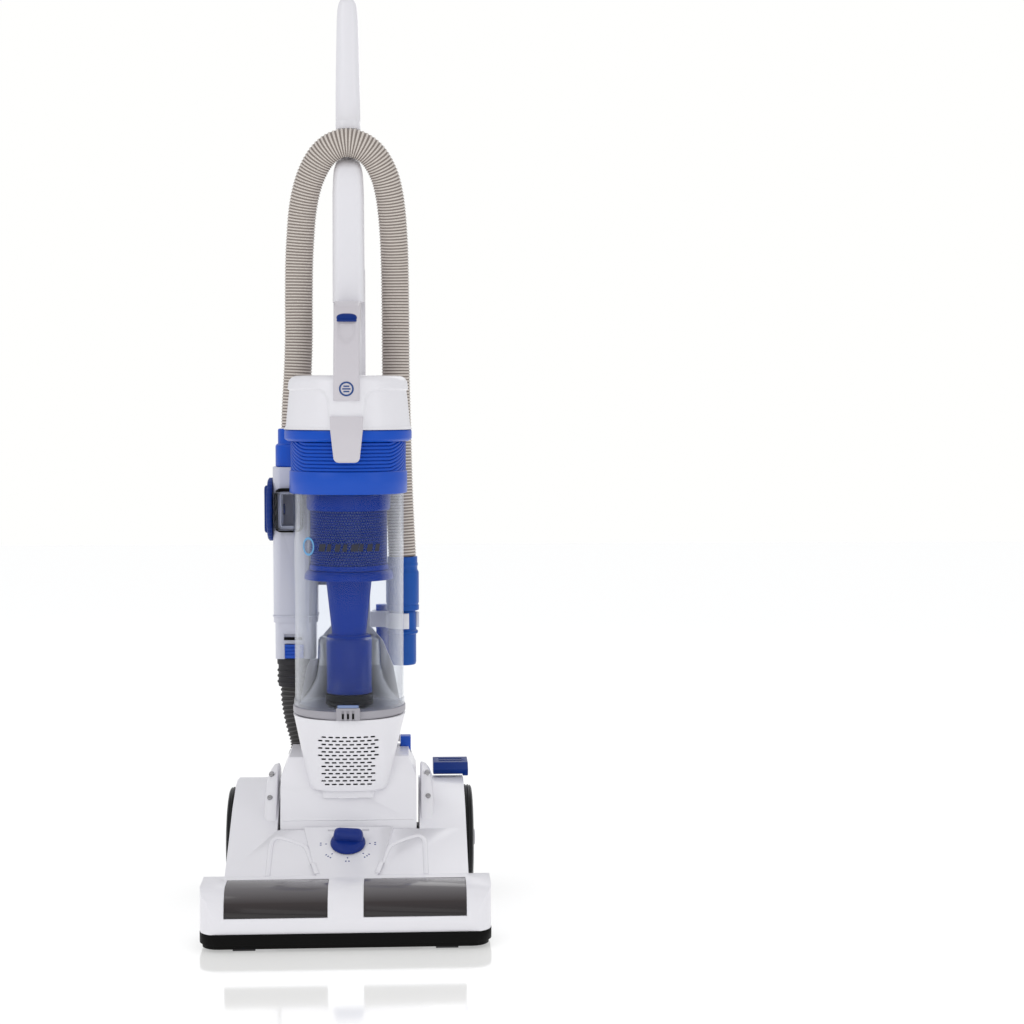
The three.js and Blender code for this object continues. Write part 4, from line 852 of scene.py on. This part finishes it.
# ---- Carry handle ----
# The loop that lifts the bin out: a narrow white grip rising from the cap in front of the post, with a thumb
# scoop and a blue release button in a notch above the scoop.
GRAB_FRONT = [(606, -30.9), (622, -30.0), (638, -28.2), (648, -26.6), (660, -23.2), (674, -17.8), (688, -11.2),
              (702, -3.0), (712, 6.0), (720, 16), (725, 30), (727.2, 48), (728, 62)]
GRAB_BACK = [(608.6, -26), (622, -20), (637.5, -2), (638, 2.4), (646, 2.6), (660, 3.4), (671.6, 6.0),
             (682, 12.4), (690, 20), (696, 31), (700, 42), (703.5, 62), (703.8, 83.2), (728, 83.4)]
GRAB_HALF, SCOOP_TOP = 15.3, 700.0


def grab_section(z):
    """The grip cut level: a face with rounded edges, dished where the thumb goes, and a flat back."""
    front, back = follow(GRAB_FRONT, z), follow(GRAB_BACK, z)
    points = []
    for i in range(25):
        x = GRAB_HALF * (i / 12 - 1)
        over = max(0.0, abs(x) - GRAB_HALF + 3.2)
        dish = hypot(x / 12.6, max(0.0, 690 - z) / 17)
        depth = 3.4 * ease((1 - dish) * 2.2) if z < SCOOP_TOP else 0.0
        points.append((x, min(front + 3.2 - sqrt(max(0.0, 3.2 ** 2 - over ** 2)) + depth, back - 0.4)))
    return points + [(x * GRAB_HALF, back - (1.6 if abs(x) > 0.95 else 0)) for x in (1, 0.94, 0, -0.94, -1)]


def side_prism(name, outline, half, radius, material, body, slot, *nodes, segments=3):
    """A (y, z) outline carried across the machine, its edges rounded."""
    obj = skinned(name, [[(x, y, z) for y, z in outline] for x in (-half, half)])
    round_edges(obj, radius, segments, 30)
    return finish_piece(obj, material, body, slot, *nodes)


levels = [608.6 + 1.5 * k for k in range(61)] + [SCOOP_TOP - 0.2, SCOOP_TOP + 0.2]
levels = sorted(levels + [701.5 + 1.5 * k for k in range(16)] + [725, 726.4, 727.4, 727.9])
loft("carry_grip", [(z, grab_section(z)) for z in levels], painted_shade_white, "bin", "white_plastic",
     "carry_handle", smooth_angle=60)
loft("carry_grip_rear", [(z, slab(GRAB_HALF, 62, 83.4, 3.2, 0, 4)) for z in (638.4, 704.5)], white, "bin",
     "white_plastic")
button = []
for z, half, proud in ((700.6, 12.2, 0.2), (701.2, 12.5, 0.9), (703.2, 12.5, 1.1), (703.7, 12.3, 0.5),
                       (704.2, 12.5, 1.1), (706, 12.3, 1.9), (708, 11.4, 2.1), (709.4, 9.8, 1.7),
                       (710.3, 7.6, 0.8), (710.8, 5.6, -0.2)):
    front = follow(GRAB_FRONT, z) - proud
    button.append((z, slab(half, front, front + 9, 3.0, 0.4, 5)))
loft("release_button", button, deep_blue, "bin_button", "blue_plastic", "bin_button", smooth_angle=60)


# ---- Handle ----
# A white post behind the bin with a rounded crown that the hose lies over, a thin stem through the rest, and
# the grip above: a long D-shaped moulding that leans a little forward to its rounded tip.
post_low, post_high = span("handle_post")
grip_low = span("handle_grip")[0]
POST_BACK = post_high[1]
sections = []
for z, half, front in ((post_low[2], 19.3, 84), (760, 19.3, 84), (860, 18.9, 84), (878, 18.2, 84.2),
                       (888, 17.2, 85.4), (894, 15.8, 88.5), (899, 14.2, 94), (902.5, 13.2, 100),
                       (905, 13.0, 107.5), (922, 13.0, 107.5), (post_high[2], 13.0, 107.5)):
    sections.append((z, slab(half, front, POST_BACK, min(10, half - 2, (POST_BACK - front) / 2 - 0.4), 0.0, 8)))
loft("post_shell", sections, white, "upright", "white_plastic", "handle_post")
sections = []
for z, half, front, back in ((grip_low[2], 15, 92, 124), (939.6, 15, 92, 124), (946.6, 15, 91.4, 124),
                             (947.4, 14.6, 91.8, 123.6), (948.4, 14.6, 91.6, 123.6), (949.2, 14.9, 91.2, 123.8),
                             (980, 14.7, 89.2, 123), (1040, 13.6, 88, 118), (1068, 12.9, 87.3, 113),
                             (1081, 12.0, 87.4, 110), (1088, 10.6, 88.4, 107.5), (1092, 8.6, 90.2, 105),
                             (1094.2, 5.8, 92.6, 102), (1095, 2.6, 95, 99.5)):
    sections.append((z, slab(half, front, back, min(half - 1.5, (back - front) / 2 - 0.3, 12), 0.0, 8)))
loft("grip_shell", sections, white, "upright", "white_plastic", "handle_grip")


# ---- Badge ----
# A round blue badge at the foot of the carry handle: a ring round three short bars, printed in thick enamel.
# It is a plain mark and spells nothing.
def raised_patch(name, outline, lift, material, body, slot):
    """A flat shape of (x, z) points laid on the front of the carry handle, standing proud of it."""
    rings = [[(x, follow(GRAB_FRONT, z) + step, z) for x, z in outline] for step in (0.3, -lift)]
    return finish_piece(skinned(name, rings, smooth=False), material, body, slot)


BADGE_Z = 622.0
enamel = moulded("badge_enamel", srgb(22, 66, 130), 0.3, 1500, 0.00001, wear=0.0, dust=0.05, Coat_Weight=0.3)
for k, tile in enumerate(ring_tiles(40, 8.6, 6.6, 0, BADGE_Z)):
    raised_patch("badge_ring_%d" % k, tile, 0.3, enamel, "bin", "white_plastic")
for k, half in enumerate((3.4, 4.8, 3.4)):
    z = BADGE_Z + (k - 1) * 3.1
    raised_patch("badge_bar_%d" % k, [(-half, z - 0.8), (half, z - 0.8), (half, z + 0.8), (-half, z + 0.8)],
                 0.3, enamel, "bin", "white_plastic")


# ---- Exhaust cover ----
# The white snap-on cover under the bin: a tapering half bucket whose face is pierced by fourteen staggered
# rows of short slots, with a sunk step along its foot. The foam filter shows dark behind the slots.
cover_low, cover_high = span("exhaust_cover")
BUCKET_TOP, BUCKET_LOW = cover_high[2], cover_low[2]
SLOT_ROWS, ROW_PITCH, COLUMN = 14, 4.25, 4.15
GRILLE_LOW = 155.5
BUCKET_FOOT, BUCKET_RISE = 141, 91.7
SLOT_COLUMNS, COVER_COLUMNS = 12, 18


def bucket_at(z):
    """Radius and centre line of the tapering bucket at a height."""
    t = (z - BUCKET_FOOT) / BUCKET_RISE
    return 43 + 24.2 * t, 20 + 25 * t


COVER_HALF = [(141, 29), (149.4, 31), (149.6, 37), (151.4, 43), (154, 45.6), (158, 47.2),
              (BUCKET_TOP - 3, 66.0), (BUCKET_TOP, 67.2)]


def cover_edge(z):
    """How far to the side the cover reaches at a height."""
    return follow(COVER_HALF, z)


def cover_front(x, z):
    """The cover's face: a half circle at the top that squares up towards the foot, meeting the body's slope."""
    r, y = bucket_at(z)
    middle = y - r + 2.6 * ease((149.7 - z) / 0.4)
    back = min(-16 + (z - 150) * 23 / 35 + 0.3, 37.6)
    power = 2.0 + 1.4 * ease((215 - z) / 60)
    across = min(1.0, abs(x) / cover_edge(z))
    return middle + (back - middle) * (1 - (1 - across ** power) ** (1 / power))


def cover_mesh():
    verts, faces = [], []

    def patch(points, loop):
        base = len(verts)
        verts.extend((x * MM, cover_front(x, z) * MM, z * MM) for x, z in points)
        faces.extend(tuple(base + k for k in face) for face in loop)

    levels = [BUCKET_LOW + 0.2, 145, 148, 149.4, 149.7, 150.4, 151.4, 153, GRILLE_LOW]
    levels += [GRILLE_LOW + ROW_PITCH * k for k in range(1, SLOT_ROWS + 1)]
    grille_top = levels[-1]
    levels += [grille_top + (BUCKET_TOP - grille_top) * k / 5 for k in range(1, 6)]
    outer = [(-1, -1), (0, -1), (1, -1), (1, 0), (1, 1), (0, 1), (-1, 1), (-1, 0)]
    inner = [(-2.3, -0.95), (0, -0.95), (2.3, -0.95), (3.05, 0), (2.3, 0.95), (0, 0.95), (-2.3, 0.95),
             (-3.05, 0)]
    for low, high in zip(levels, levels[1:]):
        row = round((low - GRILLE_LOW) / ROW_PITCH) if GRILLE_LOW - 0.1 < low < grille_top - 0.1 else -1
        reach = follow([(GRILLE_LOW, 30), (grille_top, 37)], low) if row >= 0 else 0
        taken = set()
        if row >= 0:
            for k in range(-SLOT_COLUMNS, SLOT_COLUMNS + 1):
                if k % 2 == row % 2 and abs(k) * COLUMN <= reach:
                    x, z, h = k * COLUMN, (low + high) / 2, (high - low) / 2
                    ring = [(x + u * COLUMN, z + v * h) for u, v in outer] + [(x + u, z + v) for u, v in inner]
                    patch(ring, [(m, (m + 1) % 8, 8 + (m + 1) % 8, 8 + m) for m in range(8)])
                    taken |= {k - 1, k}
        for k in range(-COVER_COLUMNS, COVER_COLUMNS):
            if k in taken:
                continue
            corners = []
            for z, order in ((low, (k, k + 1)), (high, (k + 1, k))):
                edge = cover_edge(z)
                corners += [(max(-edge, min(edge, c * COLUMN)), z) for c in order]
            if max(c[0] for c in corners) - min(c[0] for c in corners) > 0.02:
                patch(corners, [(0, 1, 2, 3)])
    return verts, faces


cover = weld(add_piece("exhaust_cover_pierced", *cover_mesh()), 0.00003, 0.00001, faces_front=True)
thicken(cover, "cover_wall", 2.2)
round_edges(cover, 0.35, 1, 50)
stand_in(cover, white, "exhaust_cover")
foam = moulded("filter_foam", srgb(30, 30, 32), 0.95, 260, 0.0004, wear=0.0, dust=0.4)
softened("exhaust_filter", foam, 0.0)


# ---- Lower body ----
# The white housing round the motor, a drum that turns between the cheeks, with a lip across its front.
# The exhaust cover clips onto its slope.
shells(white, 2.2, "lower_body", segments=3)
lip = [(-18.6, 113.6), (-21.9, 114.4), (-22.2, 115.4), (-21.4, 116.4), (-18.6, 117.4)]
side_prism("body_lip", lip, 77.4, 0.5, white, "upright", "white_plastic", segments=2)


# ---- Smoked windows ----
# Two smoked acrylic windows over the brush: glossy and brown-black, with a painted reflection that turns them
# greyer towards the top, where they curve up and back.
def smoked_acrylic_painted_reflection():
    material = moulded("smoked_acrylic_painted_reflection", srgb(52, 44, 44), 0.16, 1500, 0.00001, wear=0.0, dust=0.0, tone=0.02,
                       spread=0.04,
                       Coat_Weight=0.3, Coat_Roughness=0.06, Specular_IOR_Level=0.35)
    tree = material.node_tree
    where, split, ramp = (shader_node(tree, kind) for kind in ("TexCoord", "SeparateXYZ", "ValToRGB"))
    # Painted reflection: the colour runs from near black at the windows' foot to grey at their top, where the
    # curve faces up to the light.
    reach = shader_node(tree, "MapRange", From_Min=window_low[2] * MM, From_Max=window_high[2] * MM)
    colour_stops(ramp, (0.0, srgb(16, 9, 11)), (1.0, srgb(108, 105, 108)), (0.5, srgb(44, 36, 37)))
    grain = next(n for n in tree.nodes if n.type == "GROUP" and n.node_tree == GRAIN)
    wire(tree, (where, "Object", split, 0), (split, "Z", reach, "Value"), (reach, 0, ramp, 0),
         (ramp, 0, grain, "Color"))
    return material


window_low, window_high = span("window_left")
shells(smoked_acrylic_painted_reflection(), 0.8, "window_left", "window_right", segments=3, angle=50)


# ---- Head details ----
# Lips and marks laid along the surface of the white head: soft lips round the sunk side panels of the deck,
# and further down the height scale printed round the knob.
def surface_of(node):
    shaped = bmesh.new()
    shaped.from_mesh(frame["nodes"][node].data)
    tree = BVHTree.FromBMesh(shaped)
    shaped.free()
    return tree


HEAD = surface_of("nozzle_housing")


def on_head(x, y):
    """The head's upper surface over a place seen from above, in millimetres, with its normal."""
    hit, normal, _, _ = HEAD.ray_cast(Vector((x, y, 300)) * MM, Vector((0, 0, -1)))
    return hit, normal


def laid_strip(name, points, width, lift, material, body="base", slot="white_plastic", look=on_head, fine=3.0):
    """A half-round strip laid along a surface through points seen from above."""
    path = []
    for a, b in zip(points, points[1:]):
        steps = max(1, round(dist(a, b) / fine))
        path += [tuple(p + (q - p) * i / steps for p, q in zip(a, b)) for i in range(steps)]
    path.append(points[-1])
    spots = [look(*p) for p in path]
    rings = []
    for i, (hit, normal) in enumerate(spots):
        ahead = (spots[min(i + 1, len(spots) - 1)][0] - spots[max(i - 1, 0)][0]).normalized()
        across = normal.cross(ahead).normalized()
        ring = []
        for k in range(7):
            a = pi * k / 6
            ring.append(hit + across * (width / 2 * cos(a)) * MM + normal * (lift * sin(a) - 0.05) * MM)
        ring.append(hit - normal * 0.6 * MM)
        rings.append(ring)
    return finish_piece(add_piece(name, *skin(rings)), material, body, slot)


for name, side in (("left", -1), ("right", 1)):
    lip_path = [(side * x, y) for x, y in ((90, -103), (89.5, -52), (88, -44), (84, -40), (79, -39.5),
                                           (67, -44), (54, -51), (48.5, -56), (45.5, -63), (34, -103))]
    laid_strip("deck_panel_lip_" + name, lip_path, 6.0, 1.3, white)


# ---- Height knob ----
# A dark blue knob on the sloping console: a low disc under a thick finger bar, turned a little off square.
# Ticks and marks printed round its front half show the five heights of the front carriage.
JOINTS = {joint["name"]: joint for joint in frame["record"]["behaviour"]["joints"]}
knob_joint = JOINTS["height_turn"]
KNOB_LEAN = atan2(-knob_joint["axis"][1], knob_joint["axis"][2])
knob_at = Vector(knob_joint["pos_m"])
knob_frame = Matrix.Translation(knob_at) @ Matrix.Rotation(KNOB_LEAN, 4, "X")
knob_blue = moulded("knob_blue_abs", srgb(8, 40, 122), **BLUE)
disc = turned("knob_disc", [(0, 0.4), (20.3, 0.4), (20.5, 2.5), (19, 5.4), (14, 7.4), (0, 7.8)], radius=1.2,
              closed=False)
disc.data.transform(knob_frame)
stand_in(disc, knob_blue, "height_knob")
bar = []
for z, half, deep in ((5, 17.4, 8.2), (9, 17.2, 8.0), (12.5, 16.6, 7.4), (14.8, 15.8, 6.4), (16.2, 14.2, 4.8),
                      (16.7, 12, 3.0)):
    bar.append((z, slab(half, 4 - deep, 4 + deep, min(deep - 0.2, 5.5), 1.0, 6)))
bar = loft("knob_bar", bar, knob_blue, "height_knob", "blue_plastic", smooth_angle=70)
bar.data.transform(knob_frame @ Matrix.Rotation(radians(-6), 4, "Z"))

ink = moulded("blue_ink", srgb(30, 60, 130), 0.5, 1500, 0.00001, wear=0.0, dust=0.0)


def on_console(u, v):
    """A place on the console's face, u and v measured along it from the knob's axis."""
    start = knob_frame @ (Vector((u, v, 60)) * MM)
    hit, normal, _, _ = HEAD.ray_cast(start, (knob_frame.to_3x3() @ Vector((0, 0, -1))).normalized())
    return hit, normal


for k in range(5):
    a = radians(180 + 45 * k)
    u, v = 24.3 * cos(a), 24.3 * sin(a)
    laid_strip("scale_tick_%d" % k, [(u, v), (u * 1.09, v * 1.09)], 1.5, 0.15, ink, slot="blue_plastic",
               look=on_console, fine=1.0)
    for m in range(2 + (k % 2)):
        w = radians(180 + 45 * k + (m - 0.5 - 0.5 * (k % 2)) * 6.5)
        u, v = 30.5 * cos(w), 30.5 * sin(w)
        laid_strip("scale_mark_%d_%d" % (k, m), [(u, v), (u * 1.07, v * 1.07)], 1.8, 0.12, ink,
                   slot="blue_plastic", look=on_console, fine=1.0)


# ---- Wheels ----
# Large rear wheels of black polypropylene: a gently domed disc, a ribbed tread and a plain hub cap.
# They run on stub axles in the sides of the head.
black_gloss = moulded("wheel_polypropylene", srgb(17, 18, 20), 0.30, 1200, 0.00003, wear=0.03, dust=0.05,
                      Specular_IOR_Level=0.3)
for name, side in (("left", -1), ("right", 1)):
    low, high = span("wheel_" + name)
    R = (high[2] - low[2]) / 2
    at = (0, (low[1] + high[1]) / 2, (low[2] + high[2]) / 2)
    inner, outer = (high[0], low[0]) if side < 0 else (low[0], high[0])
    tread = ((1.5, 0), (0, 0.12), (0, 0.26), (1.2, 0.30), (1.2, 0.38), (0, 0.42), (0, 0.54), (1.2, 0.58),
             (1.2, 0.66), (0.4, 0.7))
    disc = ((3, 0.86), (8, 0.93), (9, 0.88), (11, 0.88), (12, 0.96), (R - 30, 1.0), (R - 16, 0.9),
            (R - 14.5, 0.75), (R - 7, 0.75))
    outline = ((R - 7, 0.05), (16, 0.1), (12, 0)) + tread + disc
    profile = [(R - sunk, inner + (outer - inner) * t) for sunk, t in outline]
    stand_in(turned("wheel_" + name + "_turned", profile, at, "x", 96, 0.5), black_gloss, "wheel_" + name)
shells(grey, 0.8, "wheel_axle_left", "wheel_axle_right")


# ---- Cheeks ----
# White covers over the trunnions either side of the lower body: high on the inside, falling away to the
# fenders.
CHEEK_SIDE = [(-22, 104), (107, 104), (107, 140), (95, 158), (75, 166), (47, 166), (31, 159), (9, 137),
              (-15, 109)]
for name, side in (("left", -1), ("right", 1)):
    low, high = span("cheek_cover_" + name)
    inner, outer = (high[0], low[0]) if side < 0 else (low[0], high[0])
    rings = []
    for t, drop, shrink in ((0, 1.6, 1.6), (0.04, 0.4, 0.4), (0.12, 0, 0), (0.45, 2, 0), (0.75, 8, 0.3),
                            (0.92, 15, 1.0), (1.0, 20, 2.2)):
        x = inner + (outer - inner) * t
        rings.append([(x, y + (shrink if y < 60 else -shrink), z - drop * max(0, z - 112) / 54)
                      for y, z in CHEEK_SIDE])
    cheek = skinned("cheek_" + name, rings)
    round_edges(cheek, 1.6, 3, 35)
    stand_in(cheek, white, "cheek_cover_" + name)


# ---- Cheek screws ----
# Two pan-head screws on the front of each cheek; the upper pair are the frame's own, the lower pair sit below
# them.
for name, side in (("left", -1), ("right", 1)):
    hit, normal = Vector((side * 94.2, 9.4, 136.6)) * MM, Vector((0, -0.69, 0.72))
    head = turned("lower_screw_" + name,
                  [(0, -1), (3.2, -1), (3.2, 0.8), (2.2, 1.7), (1.5, 1.7), (1.2, 1.0), (0, 1.0)], radius=0.4,
                  sides=32, closed=False)
    head.data.transform(Matrix.Translation(hit) @ normal.to_track_quat("Z", "Y").to_matrix().to_4x4())
    finish_piece(head, steel, "base", "steel")


# ---- Hose cuffs ----
# The blue cuff that joins the stretch hose to the duct, and the charcoal one under the duct with its finned
# collar.
cuff_low, cuff_high = span("hose_cuff")
cuff_at = ((cuff_low[0] + cuff_high[0]) / 2, (cuff_low[1] + cuff_high[1]) / 2, 0)
CUFF_R = (cuff_high[0] - cuff_low[0]) / 2
profile = [(HOSE_R - 3, cuff_low[2]), (CUFF_R, cuff_low[2]), (CUFF_R, 552.5), (CUFF_R - 1, 554.5),
           (21.3, 555.5), (21.3, cuff_high[2] - 1.5), (20.2, cuff_high[2]), (HOSE_R - 3, cuff_high[2])]
stand_in(turned("hose_cuff_turned", profile, cuff_at, radius=1.2), blue, "hose_cuff")
low, high = span("lower_hose_cuff")
fins = []
for k in range(3):
    z = low[2] + 4 + k * 7
    fins += [(21.0, z), (22.4, z + 0.8), (22.4, z + 2.6), (21.0, z + 3.4)]
collar_end = [(21.0, high[2] - 9), (22.4, high[2] - 8), (22.4, high[2]), (16, high[2])]
profile = [(16, low[2]), (20.6, low[2]), (21, low[2] + 1)] + fins + collar_end
dark_cuff = turned("lower_cuff_turned", profile, ((low[0] + high[0]) / 2, (low[1] + high[1]) / 2, 0),
                   radius=0.5)
finish_piece(dark_cuff, charcoal, "upright", "dark_hose", "lower_hose_cuff")


# ---- Duct sleeve ----
# A white sleeve round the foot of the duct holds the lower cuff; a dark slot above the blue latch shows where
# it grips.
duct_low, duct_high = span("duct_housing")
duct_x, duct_y = HOSE_ROUTE[0][0], (duct_low[1] + duct_high[1]) / 2


def frame_round(name, x, y, half_x, half_y, corner, wall, low, high, material, body, slot):
    """A short sleeve of rounded rectangular plan."""
    def loop(grow):
        plan = slab(half_x + grow, -half_y - grow, half_y + grow, corner + grow, 0.0, 5)
        return [(x + u, y + v) for u, v in plan]
    sections = [(low, loop(0)), (low, loop(wall)), (high, loop(wall)), (high, loop(0))]
    rings = [[(u, v, z) for u, v in outline] for z, outline in sections]
    sleeve = weld(skinned(name, rings + rings[:1], closed_ends=False), 0.000004)
    round_edges(sleeve, 0.5, 2, 40)
    return finish_piece(sleeve, material, body, slot)


frame_round("duct_seam", duct_x, duct_y, 27.05, 25.05, 8, 0.9, 343, 344.6, duct_painted_shade_white, "upright",
            "white_plastic")
side_slot = [(92.4, 314.6), (93.2, 314.6), (93.2, 318.4), (92.4, 318.4)]
slot_piece = side_prism("latch_slot", side_slot, 11, 0.2, rubber, "upright", "white_plastic", segments=1)
slot_piece.data.transform(Matrix.Translation(Vector((-70, 0, 0)) * MM))


# ---- Suction selector ----
# A big blue disc on the duct's outer side, milled with flutes, with a finger bar across it.
# It turns the valve that sends the suction to the hose or to the floor head.
dial_low, dial_high = span("selector_dial")
dial_at = tuple(c / MM for c in JOINTS["selector_turn"]["pos_m"])
DIAL_R = (dial_high[2] - dial_low[2]) / 2
face_x, back_x = dial_low[0], duct_low[0] - 0.3
steps = 144
rings = []
for r, x, flute in ((6, back_x, 0), (DIAL_R - 1.5, back_x, 0), (DIAL_R, back_x - 1, 1),
                    (DIAL_R, back_x - 4.6, 1), (DIAL_R - 2.4, back_x - 6.4, 0), (DIAL_R - 7, back_x - 6.9, 0),
                    (DIAL_R - 8, back_x - 6.0, 0), (6, back_x - 6.0, 0), (0.01, back_x - 6.0, 0)):
    ring = []
    for i in range(steps):
        a = 2 * pi * i / steps
        reach = r - flute * 0.9 * (0.5 + 0.5 * cos(a * 36))
        ring.append((x, dial_at[1] + reach * cos(a), dial_at[2] + reach * sin(a)))
    rings.append(ring)
dial = skinned("selector_disc", rings)
stand_in(dial, deep_blue, "selector_dial")
bar = [(face_x, slab(4.2, -27, 27, 4, 0, 6)), (face_x + 1.2, slab(5.4, -29, 29, 5, 0, 6)),
       (back_x - 5.8, slab(6.2, -30, 30, 6, 0, 6))]
rings = [[(x, dial_at[1] + u, dial_at[2] + v) for u, v in outline] for x, outline in bar]
finish_piece(skinned("selector_bar", rings), deep_blue, "selector_dial", "blue_plastic")
finish_piece(turned("selector_spigot", [(0, back_x - 1), (6.8, back_x - 1), (6.8, -80), (0, -80)],
                    (0, dial_at[1], dial_at[2]), "x", 40, closed=False),
             deep_blue, "selector_dial", "blue_plastic")


# ---- Wand end and tools ----
# The blue cuff of the wand at the machine's right, stepped like a pipe fitting, and the dusting tool that is
# plugged into it from below.
low, high = span("wand_cuff")
wand_x, wand_y = HOSE_ROUTE[-1][0], (low[1] + high[1]) / 2
tool_blue = moulded("tool_blue_abs", srgb(8, 78, 164), **BLUE)
profile = [(14, low[2]), (20, low[2]), (20.6, low[2] + 1), (20.6, low[2] + 6), (19.4, low[2] + 7.5),
           (20.5, low[2] + 9), (20.5, high[2] - 20), (19.4, high[2] - 17.5), (18.6, high[2] - 16),
           (18.6, high[2] - 12), (19.3, high[2] - 11), (19.3, high[2] - 8.5), (18.6, high[2] - 7.5),
           (18.6, high[2]), (14, high[2])]
stand_in(turned("wand_cuff_turned", profile, (wand_x, wand_y, 0), radius=0.9), tool_blue, "wand_cuff")
low, high = span("dusting_tool")
profile = [(12, low[2]), (16, low[2]), (17, low[2] + 3), (17, 318), (19.3, 319.5), (19.3, 322), (17.2, 323.5),
           (16.6, high[2] - 4), (16, high[2]), (12, high[2])]
stand_in(turned("dusting_tool_turned", profile, (wand_x, wand_y, 0), radius=0.8), tool_blue, "dusting_tool")


# ---- Brush, belt, motor and small fittings ----
# The works under the covers: a charcoal roll with two winding rows of bristle tufts, roller tyres, the steel
# motor, the pleated filter in the cap and the bend relief of the mains cord at the back.
bristle = moulded("brush_bristle", srgb(34, 33, 36), 0.7, 700, 0.0001, wear=0.15, dust=0.3)
shells(bristle, 0.0, "brush_roll")
shells(rubber, 0.3, "front_roller_left", "front_roller_right", "cord_gland")
shells(steel, 0.4, "motor_can", "motor_rotor", "door_hinge_pin")
filter_low, filter_high = span("bin_filter")
pleats, rings = 120, []
filter_r = filter_high[0]
for r, z in ((10, filter_low[2]), (filter_r, filter_low[2]), (filter_r, filter_high[2]), (10, filter_high[2]),
             (10, filter_low[2])):
    ring = []
    for i in range(pleats):
        a = 2 * pi * i / pleats
        reach = r - (3.0 if i % 2 and r > 20 else 0)
        ring.append((reach * cos(a), BIN_Y + reach * sin(a), z))
    rings.append(ring)
paper = moulded("filter_paper", srgb(214, 212, 206), 0.85, 500, 0.00005, wear=0.0, dust=0.4)
stand_in(skinned("pleated_filter", rings, closed_ends=False, smooth=False), paper, "bin_filter")


# ---- Sizes ----
# The box round the finished looks, in metres.
low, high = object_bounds()
